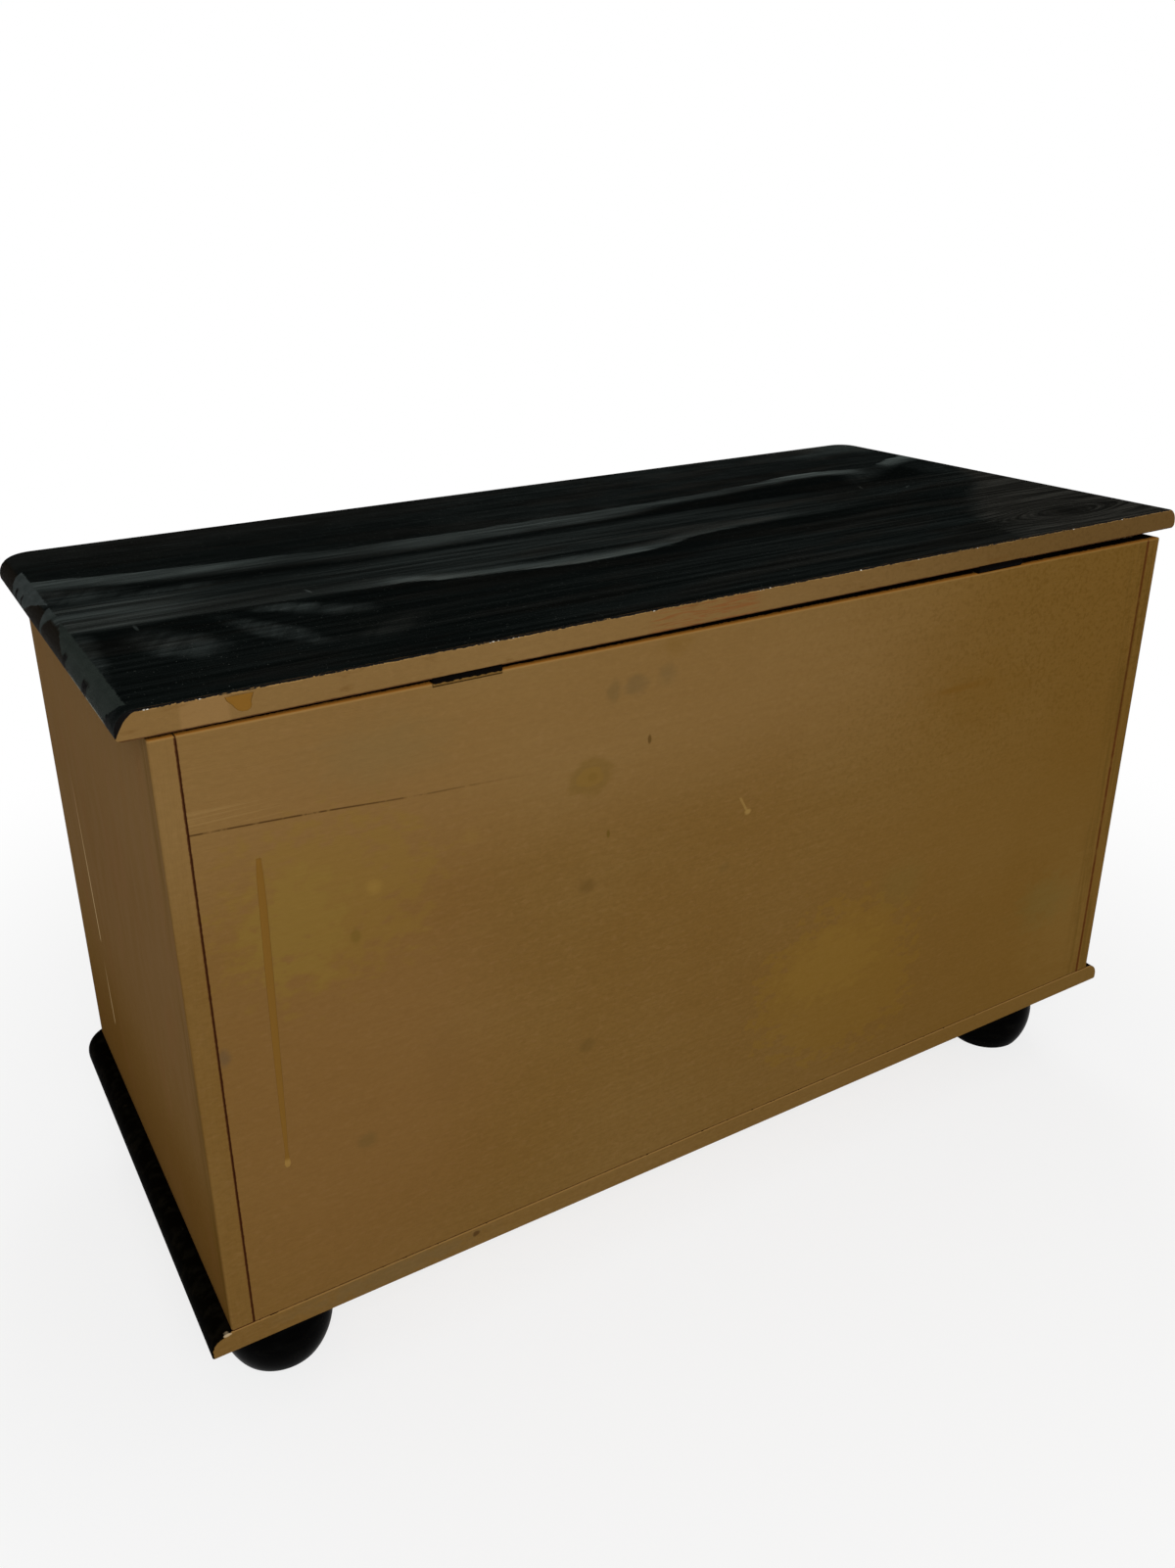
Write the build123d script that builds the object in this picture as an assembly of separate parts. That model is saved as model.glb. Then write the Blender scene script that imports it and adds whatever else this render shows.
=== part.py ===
from build123d import *
import os

# Painted pine storage chest, in millimetres. +Z is up, the front faces -Y and +X is the right end.
# The origin is on the floor, under the middle of the chest's outline.

# Carcass
body_width = 900.0  # over the faces of both end panels
body_depth = 418.0  # front face to back face
body_height = 452.0  # base board to the top edges of the panels
panel_thickness = 16.0
joint_line = 0.4  # open line where the front and back panels meet the end panels
top_arris = 1.5  # sanded top edges of the panels
bottom_arris = 0.8  # sanded bottom edges of the panels
upright_arris = 2.0  # outer upright corners of the end panels
wall_boards = 4  # boards glued edge to edge in each panel

# Base board, flush with the carcass at the back
base_thickness = 18.0
base_overhang = 16.0  # at the front and both ends
base_round_over = 13.0  # upper edge
base_under_round = 2.0  # lower edge
base_boards = 5

# Lid, flush with the carcass at the back
lid_thickness = 18.0
lid_end_overhang = 17.0
lid_front_overhang = 20.0
lid_round_over = 13.0  # upper edge
lid_under_round = 4.0  # lower edge
lid_boards = 5
crest_radius = 16.0  # plan radius of the front corners where the rounding starts
edge_flat = 0.5  # upright strip left between the two roundings of an edge

# The lid lies a little out of level: it rests on its right front corner and rises towards the left hinge
lid_seat_gap = 0.3  # over the right end panel at the front
lid_back_gap = 2.2  # over the right end panel at the back

# Butt hinges
hinge_length = 50.0
hinge_spacing = 490.0  # between the middles of the two hinges
knuckle_diameter = 6.4
knuckle_count = 5
knuckle_slack = 0.2  # between neighbouring knuckles
leaf_thickness = 1.2
leaf_reach = 13.0  # pin centre to the inner edge of a leaf
pin_diameter = 3.2
pin_clearance = 0.05  # on the radius, in the knuckles
pin_inset = 2.4  # pin centre inside the back faces
lid_let_in = 0.4  # how deep the upper leaves are let into the lid
shallow_let_in = 0.2  # how deep the left lower leaf is let into the back panel
swing_clearance = 0.3  # between a knuckle and the wood it turns in
leaf_screw_pitch = 17.0

# Cross battens under the lid
batten_width = 45.0
batten_thickness = 18.0
batten_spacing = 600.0
batten_end_gap = 12.0  # to the front and back panels
batten_screw_margin = 40.0  # from a batten's end to its outer screw
batten_screw_count = 4

# Corner blocks inside the carcass
block_side = 22.0
block_drop = 30.0  # from the top edges down to the top of a block
block_screw_margin = 50.0  # from a block's ends to its outer screws
block_screw_stagger = 18.0  # between the screws of its two sides
block_screw_count = 3

# Screws, all countersunk
screw_diameter = 3.5
screw_head = 7.0
screw_slack = 0.2  # on the radius, between a screw and its hole
leaf_screw_length = 14.0
batten_screw_length = 30.0
block_screw_length = 32.0
base_screw_diameter = 4.5
base_screw_head = 9.0
base_screw_length = 45.0
base_screws_long = 4  # under the front panel and under the back panel
base_screws_end = 2  # under each end panel
base_screw_margin = 90.0  # from the ends of the front and back panels to their outer screws
base_screw_end_margin = 140.0  # the same, under the end panels

# Turned feet
foot_height = 85.0
foot_diameter = 90.0
foot_belly_height = 34.0  # floor to the widest place
foot_curve = 56.0  # half height of the oval that the profile follows
foot_collar_diameter = 62.0  # turned ring under the base
foot_collar_height = 8.0
foot_end_inset = 51.0  # foot centre inside the end panels' faces
foot_depth_inset = 77.0  # foot centre inside the front and back faces

# Hanger bolts and T-nuts of the feet
bolt_diameter = 8.0
bolt_in_foot = 32.0
bolt_slack = 0.1  # on the radius, in the foot and the nut
bolt_end_gap = 3.0  # from the bolt's upper end to the inside of the base
nut_flange_diameter = 22.0
nut_flange_thickness = 1.5
nut_barrel_diameter = 10.0
nut_barrel_length = 9.0

# Places that follow from the sizes
knuckle_radius = knuckle_diameter / 2
knuckle_proud = knuckle_radius - pin_inset
centre_y = (lid_front_overhang - knuckle_proud) / 2
back_y = centre_y + body_depth / 2
front_y = centre_y - body_depth / 2
base_top = foot_height + base_thickness
top_z = base_top + body_height
end_x = body_width / 2
inner_x = end_x - panel_thickness
pin_z = lid_let_in - knuckle_radius  # pin centre, from the lid's underside in the lid's own frame
upper_leaf_low = lid_let_in - leaf_thickness  # lower face of an upper leaf, in the same frame
lower_leaf_top = pin_z - knuckle_radius + leaf_thickness  # upper face of a lower leaf


def block(low, high):
    size = [b - a for a, b in zip(low, high)]
    middle = [(a + b) / 2 for a, b in zip(low, high)]
    return Pos(*middle) * Box(*size)


def spread(count, span):
    # evenly spaced places from one end of the span to the other, about its middle
    if count == 1:
        return [0.0]
    return [span * (i / (count - 1) - 0.5) for i in range(count)]


def lid_frame():
    # the lid's underside: origin on its back edge at x = 0, x along that edge, y to the back
    left_gap = knuckle_diameter - lid_let_in - shallow_let_in
    right_back = Vector(end_x, back_y, top_z + lid_back_gap)
    right_front = Vector(end_x, front_y, top_z + lid_seat_gap)
    left_back = Vector(-hinge_spacing / 2, back_y, top_z + left_gap)
    along = right_back - left_back
    middle = left_back + along * ((hinge_spacing / 2) / along.X)
    return Plane(origin=middle, x_dir=along, z_dir=along.cross(right_back - right_front))


lid_plane = lid_frame()


def on_lid(shape):
    return lid_plane.location * shape


def edged_board(width, depth, thickness, round_over, under_round):
    # back face at y = 0, lower face at z = 0, rounded along the front and both ends
    board = block((-width / 2, -depth, 0), (width / 2, 0, thickness))
    over = min(round_over, thickness - under_round - edge_flat)
    front_corners = board.edges().filter_by(Axis.Z).sort_by(Axis.Y)[:2]
    board = fillet(front_corners, over + crest_radius)
    upper_edges = board.faces().sort_by(Axis.Z)[-1].edges().sort_by(Axis.Y)[:-1]
    board = fillet(upper_edges, over)
    lower_edges = board.faces().sort_by(Axis.Z)[0].edges().sort_by(Axis.Y)[:-1]
    return fillet(lower_edges, under_round)


def boards_of(panel, count, low, high, direction):
    # the boards that a panel is glued up from, side by side in one direction (0, 1 or 2 for x, y or z)
    width = (high[direction] - low[direction]) / count
    result = []
    for i in range(count):
        start = list(low)
        stop = list(high)
        start[direction] = low[direction] + i * width
        stop[direction] = start[direction] + width
        result.append(panel & block(start, stop))
    return result


# Fasteners

def wood_screw(length, diameter, head_diameter):
    # head face at z = 0, point downwards
    radius = diameter / 2
    head_radius = head_diameter / 2
    outline = Polyline(
        (0, 0),
        (head_radius, 0),
        (radius, radius - head_radius),
        (radius, diameter - length),
        (0, -length),
        (0, 0),
    )
    return revolve(make_face(Plane.XZ * outline), Axis.Z)


def screws_at(places, length, diameter=screw_diameter, head_diameter=screw_head):
    return [place * wood_screw(length, diameter, head_diameter) for place in places]


def screw_holes(places, length, diameter=screw_diameter, head_diameter=screw_head):
    # the same form, larger all round
    wider = 2 * screw_slack
    return screws_at(places, length + wider, diameter + wider, head_diameter + wider)


upwards = Rot(180, 0, 0)


def hinge_centres():
    return [-hinge_spacing / 2, hinge_spacing / 2]


def leaf_screw_y():
    return -pin_inset - (knuckle_radius + leaf_reach) / 2


def lid_leaf_places(x):
    dxs = spread(3, 2 * leaf_screw_pitch)
    return [Pos(x + dx, leaf_screw_y(), upper_leaf_low) * upwards for dx in dxs]


def body_leaf_places(x):
    return [Pos(x + dx, leaf_screw_y(), lower_leaf_top) for dx in spread(3, 2 * leaf_screw_pitch)]


# Lid, in the lid's own frame

def swing_space(x):
    # round hollow in the wood that the knuckles turn in
    space = Rot(0, 90, 0) * Cylinder(knuckle_radius + swing_clearance, hinge_length + 2 * swing_clearance)
    return Pos(x, -pin_inset, pin_z) * space


def lid_recess(x):
    half = hinge_length / 2 + swing_clearance
    low = (x - half, -pin_inset - leaf_reach - swing_clearance, -leaf_thickness)
    return block(low, (x + half, swing_clearance, lid_let_in)) + swing_space(x)


def body_recess(x):
    half = hinge_length / 2 + swing_clearance
    low = (x - half, -panel_thickness - swing_clearance, lower_leaf_top - leaf_thickness)
    return block(low, (x + half, knuckle_radius, knuckle_radius)) + swing_space(x)


def batten_y_range():
    return (batten_end_gap + panel_thickness - body_depth, -batten_end_gap - panel_thickness)


def batten_screw_places(x):
    y_low, y_high = batten_y_range()
    middle = (y_low + y_high) / 2
    ys = spread(batten_screw_count, y_high - y_low - 2 * batten_screw_margin)
    return [Pos(x, middle + dy, -batten_thickness) * upwards for dy in ys]


def batten_centres():
    return [-batten_spacing / 2, batten_spacing / 2]


def lid_parts():
    width = body_width + 2 * lid_end_overhang
    depth = body_depth + lid_front_overhang
    lid = edged_board(width, depth, lid_thickness, lid_round_over, lid_under_round)
    for x in hinge_centres():
        lid -= lid_recess(x)
        lid -= screw_holes(lid_leaf_places(x), leaf_screw_length)
    for x in batten_centres():
        lid -= screw_holes(batten_screw_places(x), batten_screw_length)
    low = (-width / 2, -depth, 0)
    high = (width / 2, 0, lid_thickness)
    parts = {}
    for number, board in enumerate(boards_of(lid, lid_boards, low, high, 1), 1):
        parts[f"lid_board_{number}"] = board
    y_low, y_high = batten_y_range()
    screws = []
    for side, x in zip(("left", "right"), batten_centres()):
        low = (x - batten_width / 2, y_low, -batten_thickness)
        batten = block(low, (x + batten_width / 2, y_high, 0))
        batten = fillet(batten.faces().sort_by(Axis.Z)[0].edges(), top_arris)
        parts[f"lid_batten_{side}"] = batten - screw_holes(batten_screw_places(x), batten_screw_length)
        screws += screws_at(batten_screw_places(x), batten_screw_length)
    parts["lid_batten_screws"] = Compound(children=screws)
    return {name: on_lid(part) for name, part in parts.items()}


# Hinges, in the lid's own frame

def knuckle(x, index, radius, slack):
    pitch = hinge_length / knuckle_count
    middle = x + (index - (knuckle_count - 1) / 2) * pitch
    barrel = Rot(0, 90, 0) * Cylinder(radius, pitch - slack)
    return Pos(middle, -pin_inset, pin_z) * barrel


def leaf(x, z_low, own, other):
    # a plate with its own knuckles, cleared round the other leaf's knuckles and bored for the pin
    low = (x - hinge_length / 2, -pin_inset - leaf_reach, z_low)
    plate = block(low, (x + hinge_length / 2, -pin_inset, z_low + leaf_thickness))
    for index in other:
        plate -= knuckle(x, index, knuckle_radius + knuckle_slack, -knuckle_slack)
    for index in own:
        plate += knuckle(x, index, knuckle_radius, knuckle_slack)
    bore = Rot(0, 90, 0) * Cylinder(pin_diameter / 2 + pin_clearance, 2 * hinge_length)
    return plate - Pos(x, -pin_inset, pin_z) * bore


def hinge_parts():
    body_knuckles = range(0, knuckle_count, 2)
    lid_knuckles = range(1, knuckle_count, 2)
    parts = {}
    lid_screws = []
    body_screws = []
    for side, x in zip(("left", "right"), hinge_centres()):
        upper = leaf(x, upper_leaf_low, lid_knuckles, body_knuckles)
        lower = leaf(x, lower_leaf_top - leaf_thickness, body_knuckles, lid_knuckles)
        parts[f"hinge_lid_leaf_{side}"] = upper - screw_holes(lid_leaf_places(x), leaf_screw_length)
        parts[f"hinge_body_leaf_{side}"] = lower - screw_holes(body_leaf_places(x), leaf_screw_length)
        pin = Rot(0, 90, 0) * Cylinder(pin_diameter / 2, hinge_length)
        parts[f"hinge_pin_{side}"] = Pos(x, -pin_inset, pin_z) * pin
        lid_screws += screws_at(lid_leaf_places(x), leaf_screw_length)
        body_screws += screws_at(body_leaf_places(x), leaf_screw_length)
    parts["hinge_lid_screws"] = Compound(children=lid_screws)
    parts["hinge_body_screws"] = Compound(children=body_screws)
    return {name: on_lid(part) for name, part in parts.items()}


# Corner blocks

def corners():
    # the four corners: sign of x, sign of y
    return {"front_left": (-1, -1), "front_right": (1, -1), "back_left": (-1, 1), "back_right": (1, 1)}


def block_screw_places(sx, sy):
    length = body_height - block_drop
    middle = base_top + length / 2
    span = length - 2 * block_screw_margin
    x = sx * (inner_x - block_side / 2)
    y = centre_y + sy * (body_depth / 2 - panel_thickness - block_side / 2)
    places = []
    for dz in spread(block_screw_count, span):
        to_end = Pos(sx * (inner_x - block_side), y, middle + dz + block_screw_stagger / 2)
        places.append(to_end * Rot(0, -90 * sx, 0))
        inner_y = centre_y + sy * (body_depth / 2 - panel_thickness - block_side)
        to_face = Pos(x, inner_y, middle + dz - block_screw_stagger / 2)
        places.append(to_face * Rot(90 * sy, 0, 0))
    return places


def all_block_screws():
    return [place for corner in corners().values() for place in block_screw_places(*corner)]


def corner_blocks():
    parts = {}
    for name, (sx, sy) in corners().items():
        outer = Vector(sx * inner_x, centre_y + sy * (body_depth / 2 - panel_thickness), 0)
        centre = outer - Vector(sx, sy, 0) * (block_side / 2)
        length = body_height - block_drop
        body = Pos(centre.X, centre.Y, base_top + length / 2) * Box(block_side, block_side, length)
        body -= screw_holes(block_screw_places(sx, sy), block_screw_length)
        parts[f"corner_block_{name}"] = body
    return parts


# Base board, feet and their fixings

def base_screw_places():
    long_span = body_width - 2 * base_screw_margin
    end_span = body_depth - 2 * base_screw_end_margin
    row = body_depth / 2 - panel_thickness / 2
    places = []
    for side in (-1, 1):
        places += [Pos(dx, centre_y + side * row, foot_height) for dx in spread(base_screws_long, long_span)]
        column = side * (end_x - panel_thickness / 2)
        places += [Pos(column, centre_y + dy, foot_height) for dy in spread(base_screws_end, end_span)]
    return [place * upwards for place in places]


def base_holes():
    return screw_holes(base_screw_places(), base_screw_length, base_screw_diameter, base_screw_head)


def foot_places():
    x = end_x - foot_end_inset
    y = body_depth / 2 - foot_depth_inset
    return {name: Pos(sx * x, centre_y + sy * y, 0) for name, (sx, sy) in corners().items()}


def bun_foot():
    # an oval turned about the upright axis, flat on the floor, with a collar under the base
    oval = Pos(0, foot_belly_height) * Ellipse(foot_diameter / 2, foot_curve)
    half = Pos(foot_diameter / 2, foot_height / 2) * Rectangle(foot_diameter, foot_height)
    collar = Cylinder(foot_collar_diameter / 2, foot_collar_height)
    collar = Pos(0, 0, foot_height - foot_collar_height / 2) * collar
    foot = revolve(Plane.XZ * (oval & half), Axis.Z) + collar
    hole_radius = bolt_diameter / 2 + bolt_slack
    hole = Pos(0, 0, foot_height - bolt_in_foot / 2) * Cylinder(hole_radius, bolt_in_foot)
    return foot - hole


def hanger_bolt():
    length = bolt_in_foot + base_thickness - bolt_end_gap
    return Pos(0, 0, foot_height - bolt_in_foot + length / 2) * Cylinder(bolt_diameter / 2, length)


def nut_form(slack):
    # flange let in flush with the inside of the base, barrel below it
    flange = Cylinder(nut_flange_diameter / 2 + slack, nut_flange_thickness)
    barrel = Cylinder(nut_barrel_diameter / 2 + slack, nut_barrel_length)
    flange = Pos(0, 0, base_top - nut_flange_thickness / 2) * flange
    return flange + Pos(0, 0, base_top - nut_flange_thickness - nut_barrel_length / 2) * barrel


def t_nut():
    bore = Cylinder(bolt_diameter / 2 + bolt_slack, base_thickness)
    return nut_form(0) - Pos(0, 0, base_top - base_thickness / 2) * bore


def base_parts():
    width = body_width + 2 * base_overhang
    depth = body_depth + base_overhang
    base = edged_board(width, depth, base_thickness, base_round_over, base_under_round)
    base = Pos(0, back_y, foot_height) * base
    base -= base_holes()
    passage = Cylinder(bolt_diameter / 2 + bolt_slack, base_thickness)
    passage = Pos(0, 0, foot_height + base_thickness / 2) * passage
    for place in foot_places().values():
        base -= place * (passage + nut_form(bolt_slack))
    low = (-width / 2, back_y - depth, foot_height)
    high = (width / 2, back_y, base_top)
    parts = {}
    for number, board in enumerate(boards_of(base, base_boards, low, high, 1), 1):
        parts[f"base_board_{number}"] = board
    for name, place in foot_places().items():
        parts[f"foot_{name}"] = place * bun_foot()
    parts["foot_bolts"] = Compound(children=[place * hanger_bolt() for place in foot_places().values()])
    parts["foot_t_nuts"] = Compound(children=[place * t_nut() for place in foot_places().values()])
    screws = screws_at(base_screw_places(), base_screw_length, base_screw_diameter, base_screw_head)
    parts["base_screws"] = Compound(children=screws)
    return parts


# Panels

def end_panel(sx):
    low = (min(sx * inner_x, sx * end_x), front_y, base_top)
    high = (max(sx * inner_x, sx * end_x), back_y, top_z)
    panel = block(low, high)
    outer_corners = panel.edges().filter_by(Axis.Z).sort_by(Axis.X)
    outer_corners = outer_corners[:2] if sx < 0 else outer_corners[2:]
    panel = fillet(outer_corners, upright_arris)
    panel = fillet(panel.faces().sort_by(Axis.Z)[-1].edges(), top_arris)
    panel -= screw_holes(all_block_screws(), block_screw_length)
    panel -= base_holes()
    return boards_of(panel, wall_boards, low, high, 1)


def face_panel(sy):
    outer = centre_y + sy * body_depth / 2
    inner = outer - sy * panel_thickness
    low = (joint_line - inner_x, min(inner, outer), base_top)
    high = (inner_x - joint_line, max(inner, outer), top_z)
    panel = block(low, high)
    panel = fillet(panel.faces().sort_by(Axis.Z)[-1].edges().filter_by(Axis.X), top_arris)
    panel = fillet(panel.faces().sort_by(Axis.Z)[0].edges().filter_by(Axis.X), bottom_arris)
    panel -= screw_holes(all_block_screws(), block_screw_length)
    panel -= base_holes()
    if sy > 0:
        for x in hinge_centres():
            panel -= on_lid(body_recess(x))
            panel -= [on_lid(hole) for hole in screw_holes(body_leaf_places(x), leaf_screw_length)]
    return boards_of(panel, wall_boards, low, high, 2)


def panel_parts():
    panels = {"left_end": end_panel(-1), "right_end": end_panel(1)}
    panels["front"] = face_panel(-1)
    panels["back"] = face_panel(1)
    parts = {}
    for side, boards in panels.items():
        for number, board in enumerate(boards, 1):
            parts[f"{side}_board_{number}"] = board
    return parts


def main():
    parts = {**lid_parts(), **hinge_parts(), **corner_blocks(), **base_parts(), **panel_parts()}
    block_screws = screws_at(all_block_screws(), block_screw_length)
    parts["corner_block_screws"] = Compound(children=block_screws)
    os.makedirs("parts", exist_ok=True)
    for name, part in parts.items():
        part.label = name
        export_step(part, f"parts/{name}.step")
    pin = lid_plane.from_local_coords(Vector(0, -pin_inset, pin_z))
    print("hinge line through", pin, "towards", -lid_plane.x_dir)
    print(len(parts), "nodes")
    return parts


main()
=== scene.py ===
from math import cos, pi, radians, sin
from random import Random

import bmesh
import bpy
import numpy as np
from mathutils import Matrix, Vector


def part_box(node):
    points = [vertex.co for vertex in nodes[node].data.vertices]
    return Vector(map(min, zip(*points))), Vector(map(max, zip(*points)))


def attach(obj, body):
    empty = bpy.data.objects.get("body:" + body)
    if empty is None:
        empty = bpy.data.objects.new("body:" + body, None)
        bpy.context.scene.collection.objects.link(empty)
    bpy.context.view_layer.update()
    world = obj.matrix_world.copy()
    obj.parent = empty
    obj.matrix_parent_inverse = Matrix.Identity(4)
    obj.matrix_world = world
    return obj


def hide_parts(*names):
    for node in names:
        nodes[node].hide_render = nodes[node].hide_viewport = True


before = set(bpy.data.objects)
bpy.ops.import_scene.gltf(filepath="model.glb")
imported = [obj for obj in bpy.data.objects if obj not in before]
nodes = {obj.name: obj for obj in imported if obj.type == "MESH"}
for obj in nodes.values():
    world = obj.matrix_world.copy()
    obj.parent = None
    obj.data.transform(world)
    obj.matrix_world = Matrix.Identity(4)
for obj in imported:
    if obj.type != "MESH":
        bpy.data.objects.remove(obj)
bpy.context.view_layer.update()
scene = bpy.context.scene
scene.view_settings.view_transform = "Standard"
mm = 0.001
print("frame loaded:", len(nodes), "nodes")

# Camera, as the photograph was taken: behind the chest, a little above the lid
cameraSet = {
    "place": (0.58503, 0.92108, 0.83441),
    "turn": (67.480, 0.553, 149.462),  # degrees
    "lens": 29.365,
    "shift": (0.01568, -0.02974),
}
cameraData = bpy.data.cameras.new("camera")
camera = bpy.data.objects.new("camera", cameraData)
scene.collection.objects.link(camera)
camera.location = cameraSet["place"]
camera.rotation_euler = [radians(a) for a in cameraSet["turn"]]
cameraData.sensor_width = 36
cameraData.lens = cameraSet["lens"]
cameraData.shift_x, cameraData.shift_y = cameraSet["shift"]
cameraData.clip_start = 0.01
cameraData.dof.use_dof = False
scene.camera = camera
print("camera set")


# Nodes and colours

def hexColour(code):
    # sRGB hex to linear RGBA
    parts = [int(code[i:i + 2], 16) / 255 for i in (1, 3, 5)]
    return tuple(p / 12.92 if p <= 0.04045 else ((p + 0.055) / 1.055) ** 2.4 for p in parts) + (1.0,)


# Nodes used often, under a short word: kind, settings, names of the inputs in order, output
shortNodes = {
    "mix": ("ShaderNodeMix", {"data_type": "RGBA", "clamp_factor": True}, (0, 6, 7), 2),
    # a smooth step between two values, to 0 and 1 unless two more are given
    "ease": ("ShaderNodeMapRange", {"interpolation_type": "SMOOTHSTEP"}, (0, 1, 2, 3, 4), 0),
    "bump": ("ShaderNodeBump", {}, ("Height", "Distance", "Normal"), 0),
}
for step in "ADD SUBTRACT MULTIPLY DIVIDE POWER MAXIMUM ABSOLUTE SQRT SIGN FLOOR".split():
    shortNodes[step] = ("ShaderNodeMath", {"operation": step}, (0, 1), 0)


def setInputs(target, values):
    # a link or a fixed value for each input, colours in sRGB hex
    for name, value in values.items():
        if isinstance(value, bpy.types.NodeSocket):
            target.id_data.links.new(value, target.inputs[name])
        else:
            fixed = hexColour(value) if str(value).startswith("#") else value
            target.inputs[name].default_value = fixed


def node(kind, *given, tree=None, output=None, **settings):
    # adds a node with its settings and gives its output; inputs come in order, or by name in a dictionary
    # it goes into the tree of its first link, unless a tree is given
    kind, preset, order, shown = shortNodes.get(kind, (kind, {}, range(len(given)), 0))
    values = given[0] if given and isinstance(given[0], dict) else dict(zip(order, given))
    if not tree:
        tree = next(v.id_data for v in values.values() if isinstance(v, bpy.types.NodeSocket))
    added = tree.nodes.new(kind)
    for name, value in {**preset, **settings}.items():
        setattr(added, name, value)
    setInputs(added, values)
    if added.outputs:
        return added.outputs[shown if output is None else output]


def newMaterial(name, kind="ShaderNodeBsdfPrincipled"):
    # a material, its shader and the place on the object
    material = bpy.data.materials.new(name)
    material.use_nodes = True
    tree = material.node_tree
    tree.nodes.clear()
    surface = node(kind, tree=tree)
    node("ShaderNodeOutputMaterial", surface)
    return material, surface.node, node("ShaderNodeTexCoord", tree=tree, output="Object")


# Patterns and measures, from sizes in millimetres

endless = 1e6  # half size of a mark that goes right through a board


def streaks(place, size, detail=3.0, shift=0.0, bend=0.0, turn=0.0):
    # brush marks or grain: noise drawn out to the size of one mark along x, y and z
    if turn:
        spun = {"Vector": place, "Rotation": (0, 0, radians(turn))}
        place = node("ShaderNodeMapping", spun, vector_type="POINT")
    inputs = {"Vector": place, "Location": (shift,) * 3, "Scale": [1 / (s * mm) for s in size]}
    moved = node("ShaderNodeMapping", inputs, vector_type="POINT")
    inputs = {"Vector": moved, "Scale": 1.0, "Detail": detail, "Roughness": 0.55, "Distortion": bend}
    return node("ShaderNodeTexNoise", inputs, output="Fac")


def allOf(*values):
    product = values[0]
    for value in values[1:]:
        product = node("MULTIPLY", product, value)
    return product


def anyOf(*values):
    most = values[0]
    for value in values[1:]:
        most = node("MAXIMUM", most, value)
    return most


def apart(value, level):
    # how far a value is from a level, either way
    return node("ABSOLUTE", node("SUBTRACT", value, level), 0.0)


def span(value, low, high, soft):
    # 1 from low to high, fading outside over a soft stretch, all in millimetres
    rise = node("ease", value, (low - soft) * mm, low * mm)
    return allOf(rise, node("ease", value, (high + soft) * mm, high * mm))


def spot(place, centre, size, soft, ragged, rough):
    # how much an oval mark covers: its half sizes in millimetres, its rim soft or torn by a noise
    middle = [c * mm for c in centre]
    moved = node("ShaderNodeVectorMath", place, middle, operation="SUBTRACT")
    half = [s * mm for s in size]
    scaled = node("ShaderNodeVectorMath", moved, half, operation="DIVIDE")
    away = node("ShaderNodeVectorMath", scaled, output="Value", operation="LENGTH")
    if ragged:
        torn = node("MULTIPLY", node("SUBTRACT", rough, 0.5), 2 * ragged)
        away = node("ADD", away, torn)
    return node("ease", away, 1 + soft, 1 - soft)


def profile(along, points):
    # a value that follows a few points: place along in millimetres, value
    start, end = points[0][0], points[-1][0]
    level = [p[1] for p in points]
    margin = 0.05 * (max(level) - min(level)) + 0.01
    low, high = min(level) - margin, max(level) + margin
    travel = node("ShaderNodeMapRange", along, start * mm, end * mm)
    line = node("ShaderNodeFloatCurve", {"Value": travel}).node
    curve = line.mapping.curves[0]
    for index, (a, b) in enumerate(points):
        knot = ((a - start) / (end - start), (b - low) / (high - low))
        if index == 0:
            curve.points[0].location = knot
        elif index == len(points) - 1:
            curve.points[-1].location = knot
        else:
            curve.points.new(*knot)
    line.mapping.update()
    return node("ShaderNodeMapRange", line.outputs[0], 0.0, 1.0, low, high)


def offLine(along, across, points):
    # signed distance across, from a line through a few points (along, across) in millimetres
    return node("SUBTRACT", across, allOf(profile(along, points), mm))


def insideRounding(x, height, end, radius):
    # on a back face: how far inside the rounded corner of its end, from the height under the top face
    over = node("MAXIMUM", node("SUBTRACT", x, end - radius), 0.0)
    up = node("MAXIMUM", node("ADD", height, radius), 0.0)
    squares = node("ADD", allOf(over, over), allOf(up, up))
    return node("SUBTRACT", radius, node("SQRT", squares, 0.0))


def aboveFace(place, face):
    # height above a flat face, which is given by its normal and a point on it
    normal, point = face
    reach = node("ShaderNodeVectorMath", place, normal, output="Value", operation="DOT_PRODUCT")
    return node("SUBTRACT", reach, normal.dot(point))


# Places on the chest, from the frame

def flatFace(solid, direction):
    # the largest face that looks in a direction: its normal and its middle
    wanted = Vector(direction)
    faces = [p for p in solid.data.polygons if p.normal.dot(wanted) > 0.99]
    face = max(faces, key=lambda p: p.area)
    return face.normal.copy(), face.center.copy()


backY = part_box("back_board_1")[1].y
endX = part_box("right_end_board_2")[1].x
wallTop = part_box("back_board_4")[1].z
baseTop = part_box("back_board_1")[0].z
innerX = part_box("right_end_board_2")[0].x
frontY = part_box("front_board_1")[0].y
middleY = (backY + frontY) / 2
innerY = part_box("back_board_1")[0].y
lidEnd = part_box("lid_board_5")[1].x
lidTop = flatFace(nodes["lid_board_3"], (0, 0, 1))
lidBack = flatFace(nodes["lid_board_5"], (0, 1, 0))


# Bare pine

pineSet = {
    "early": "#DDBE8A",
    "late": "#B98850",
    "knot": "#7A4A26",
    "ringSpacing": 6.0,  # mm between growth rings
    "knotSpacing": 260.0,
    "roughness": 0.62,
    "specular": 0.3,
}


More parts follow.
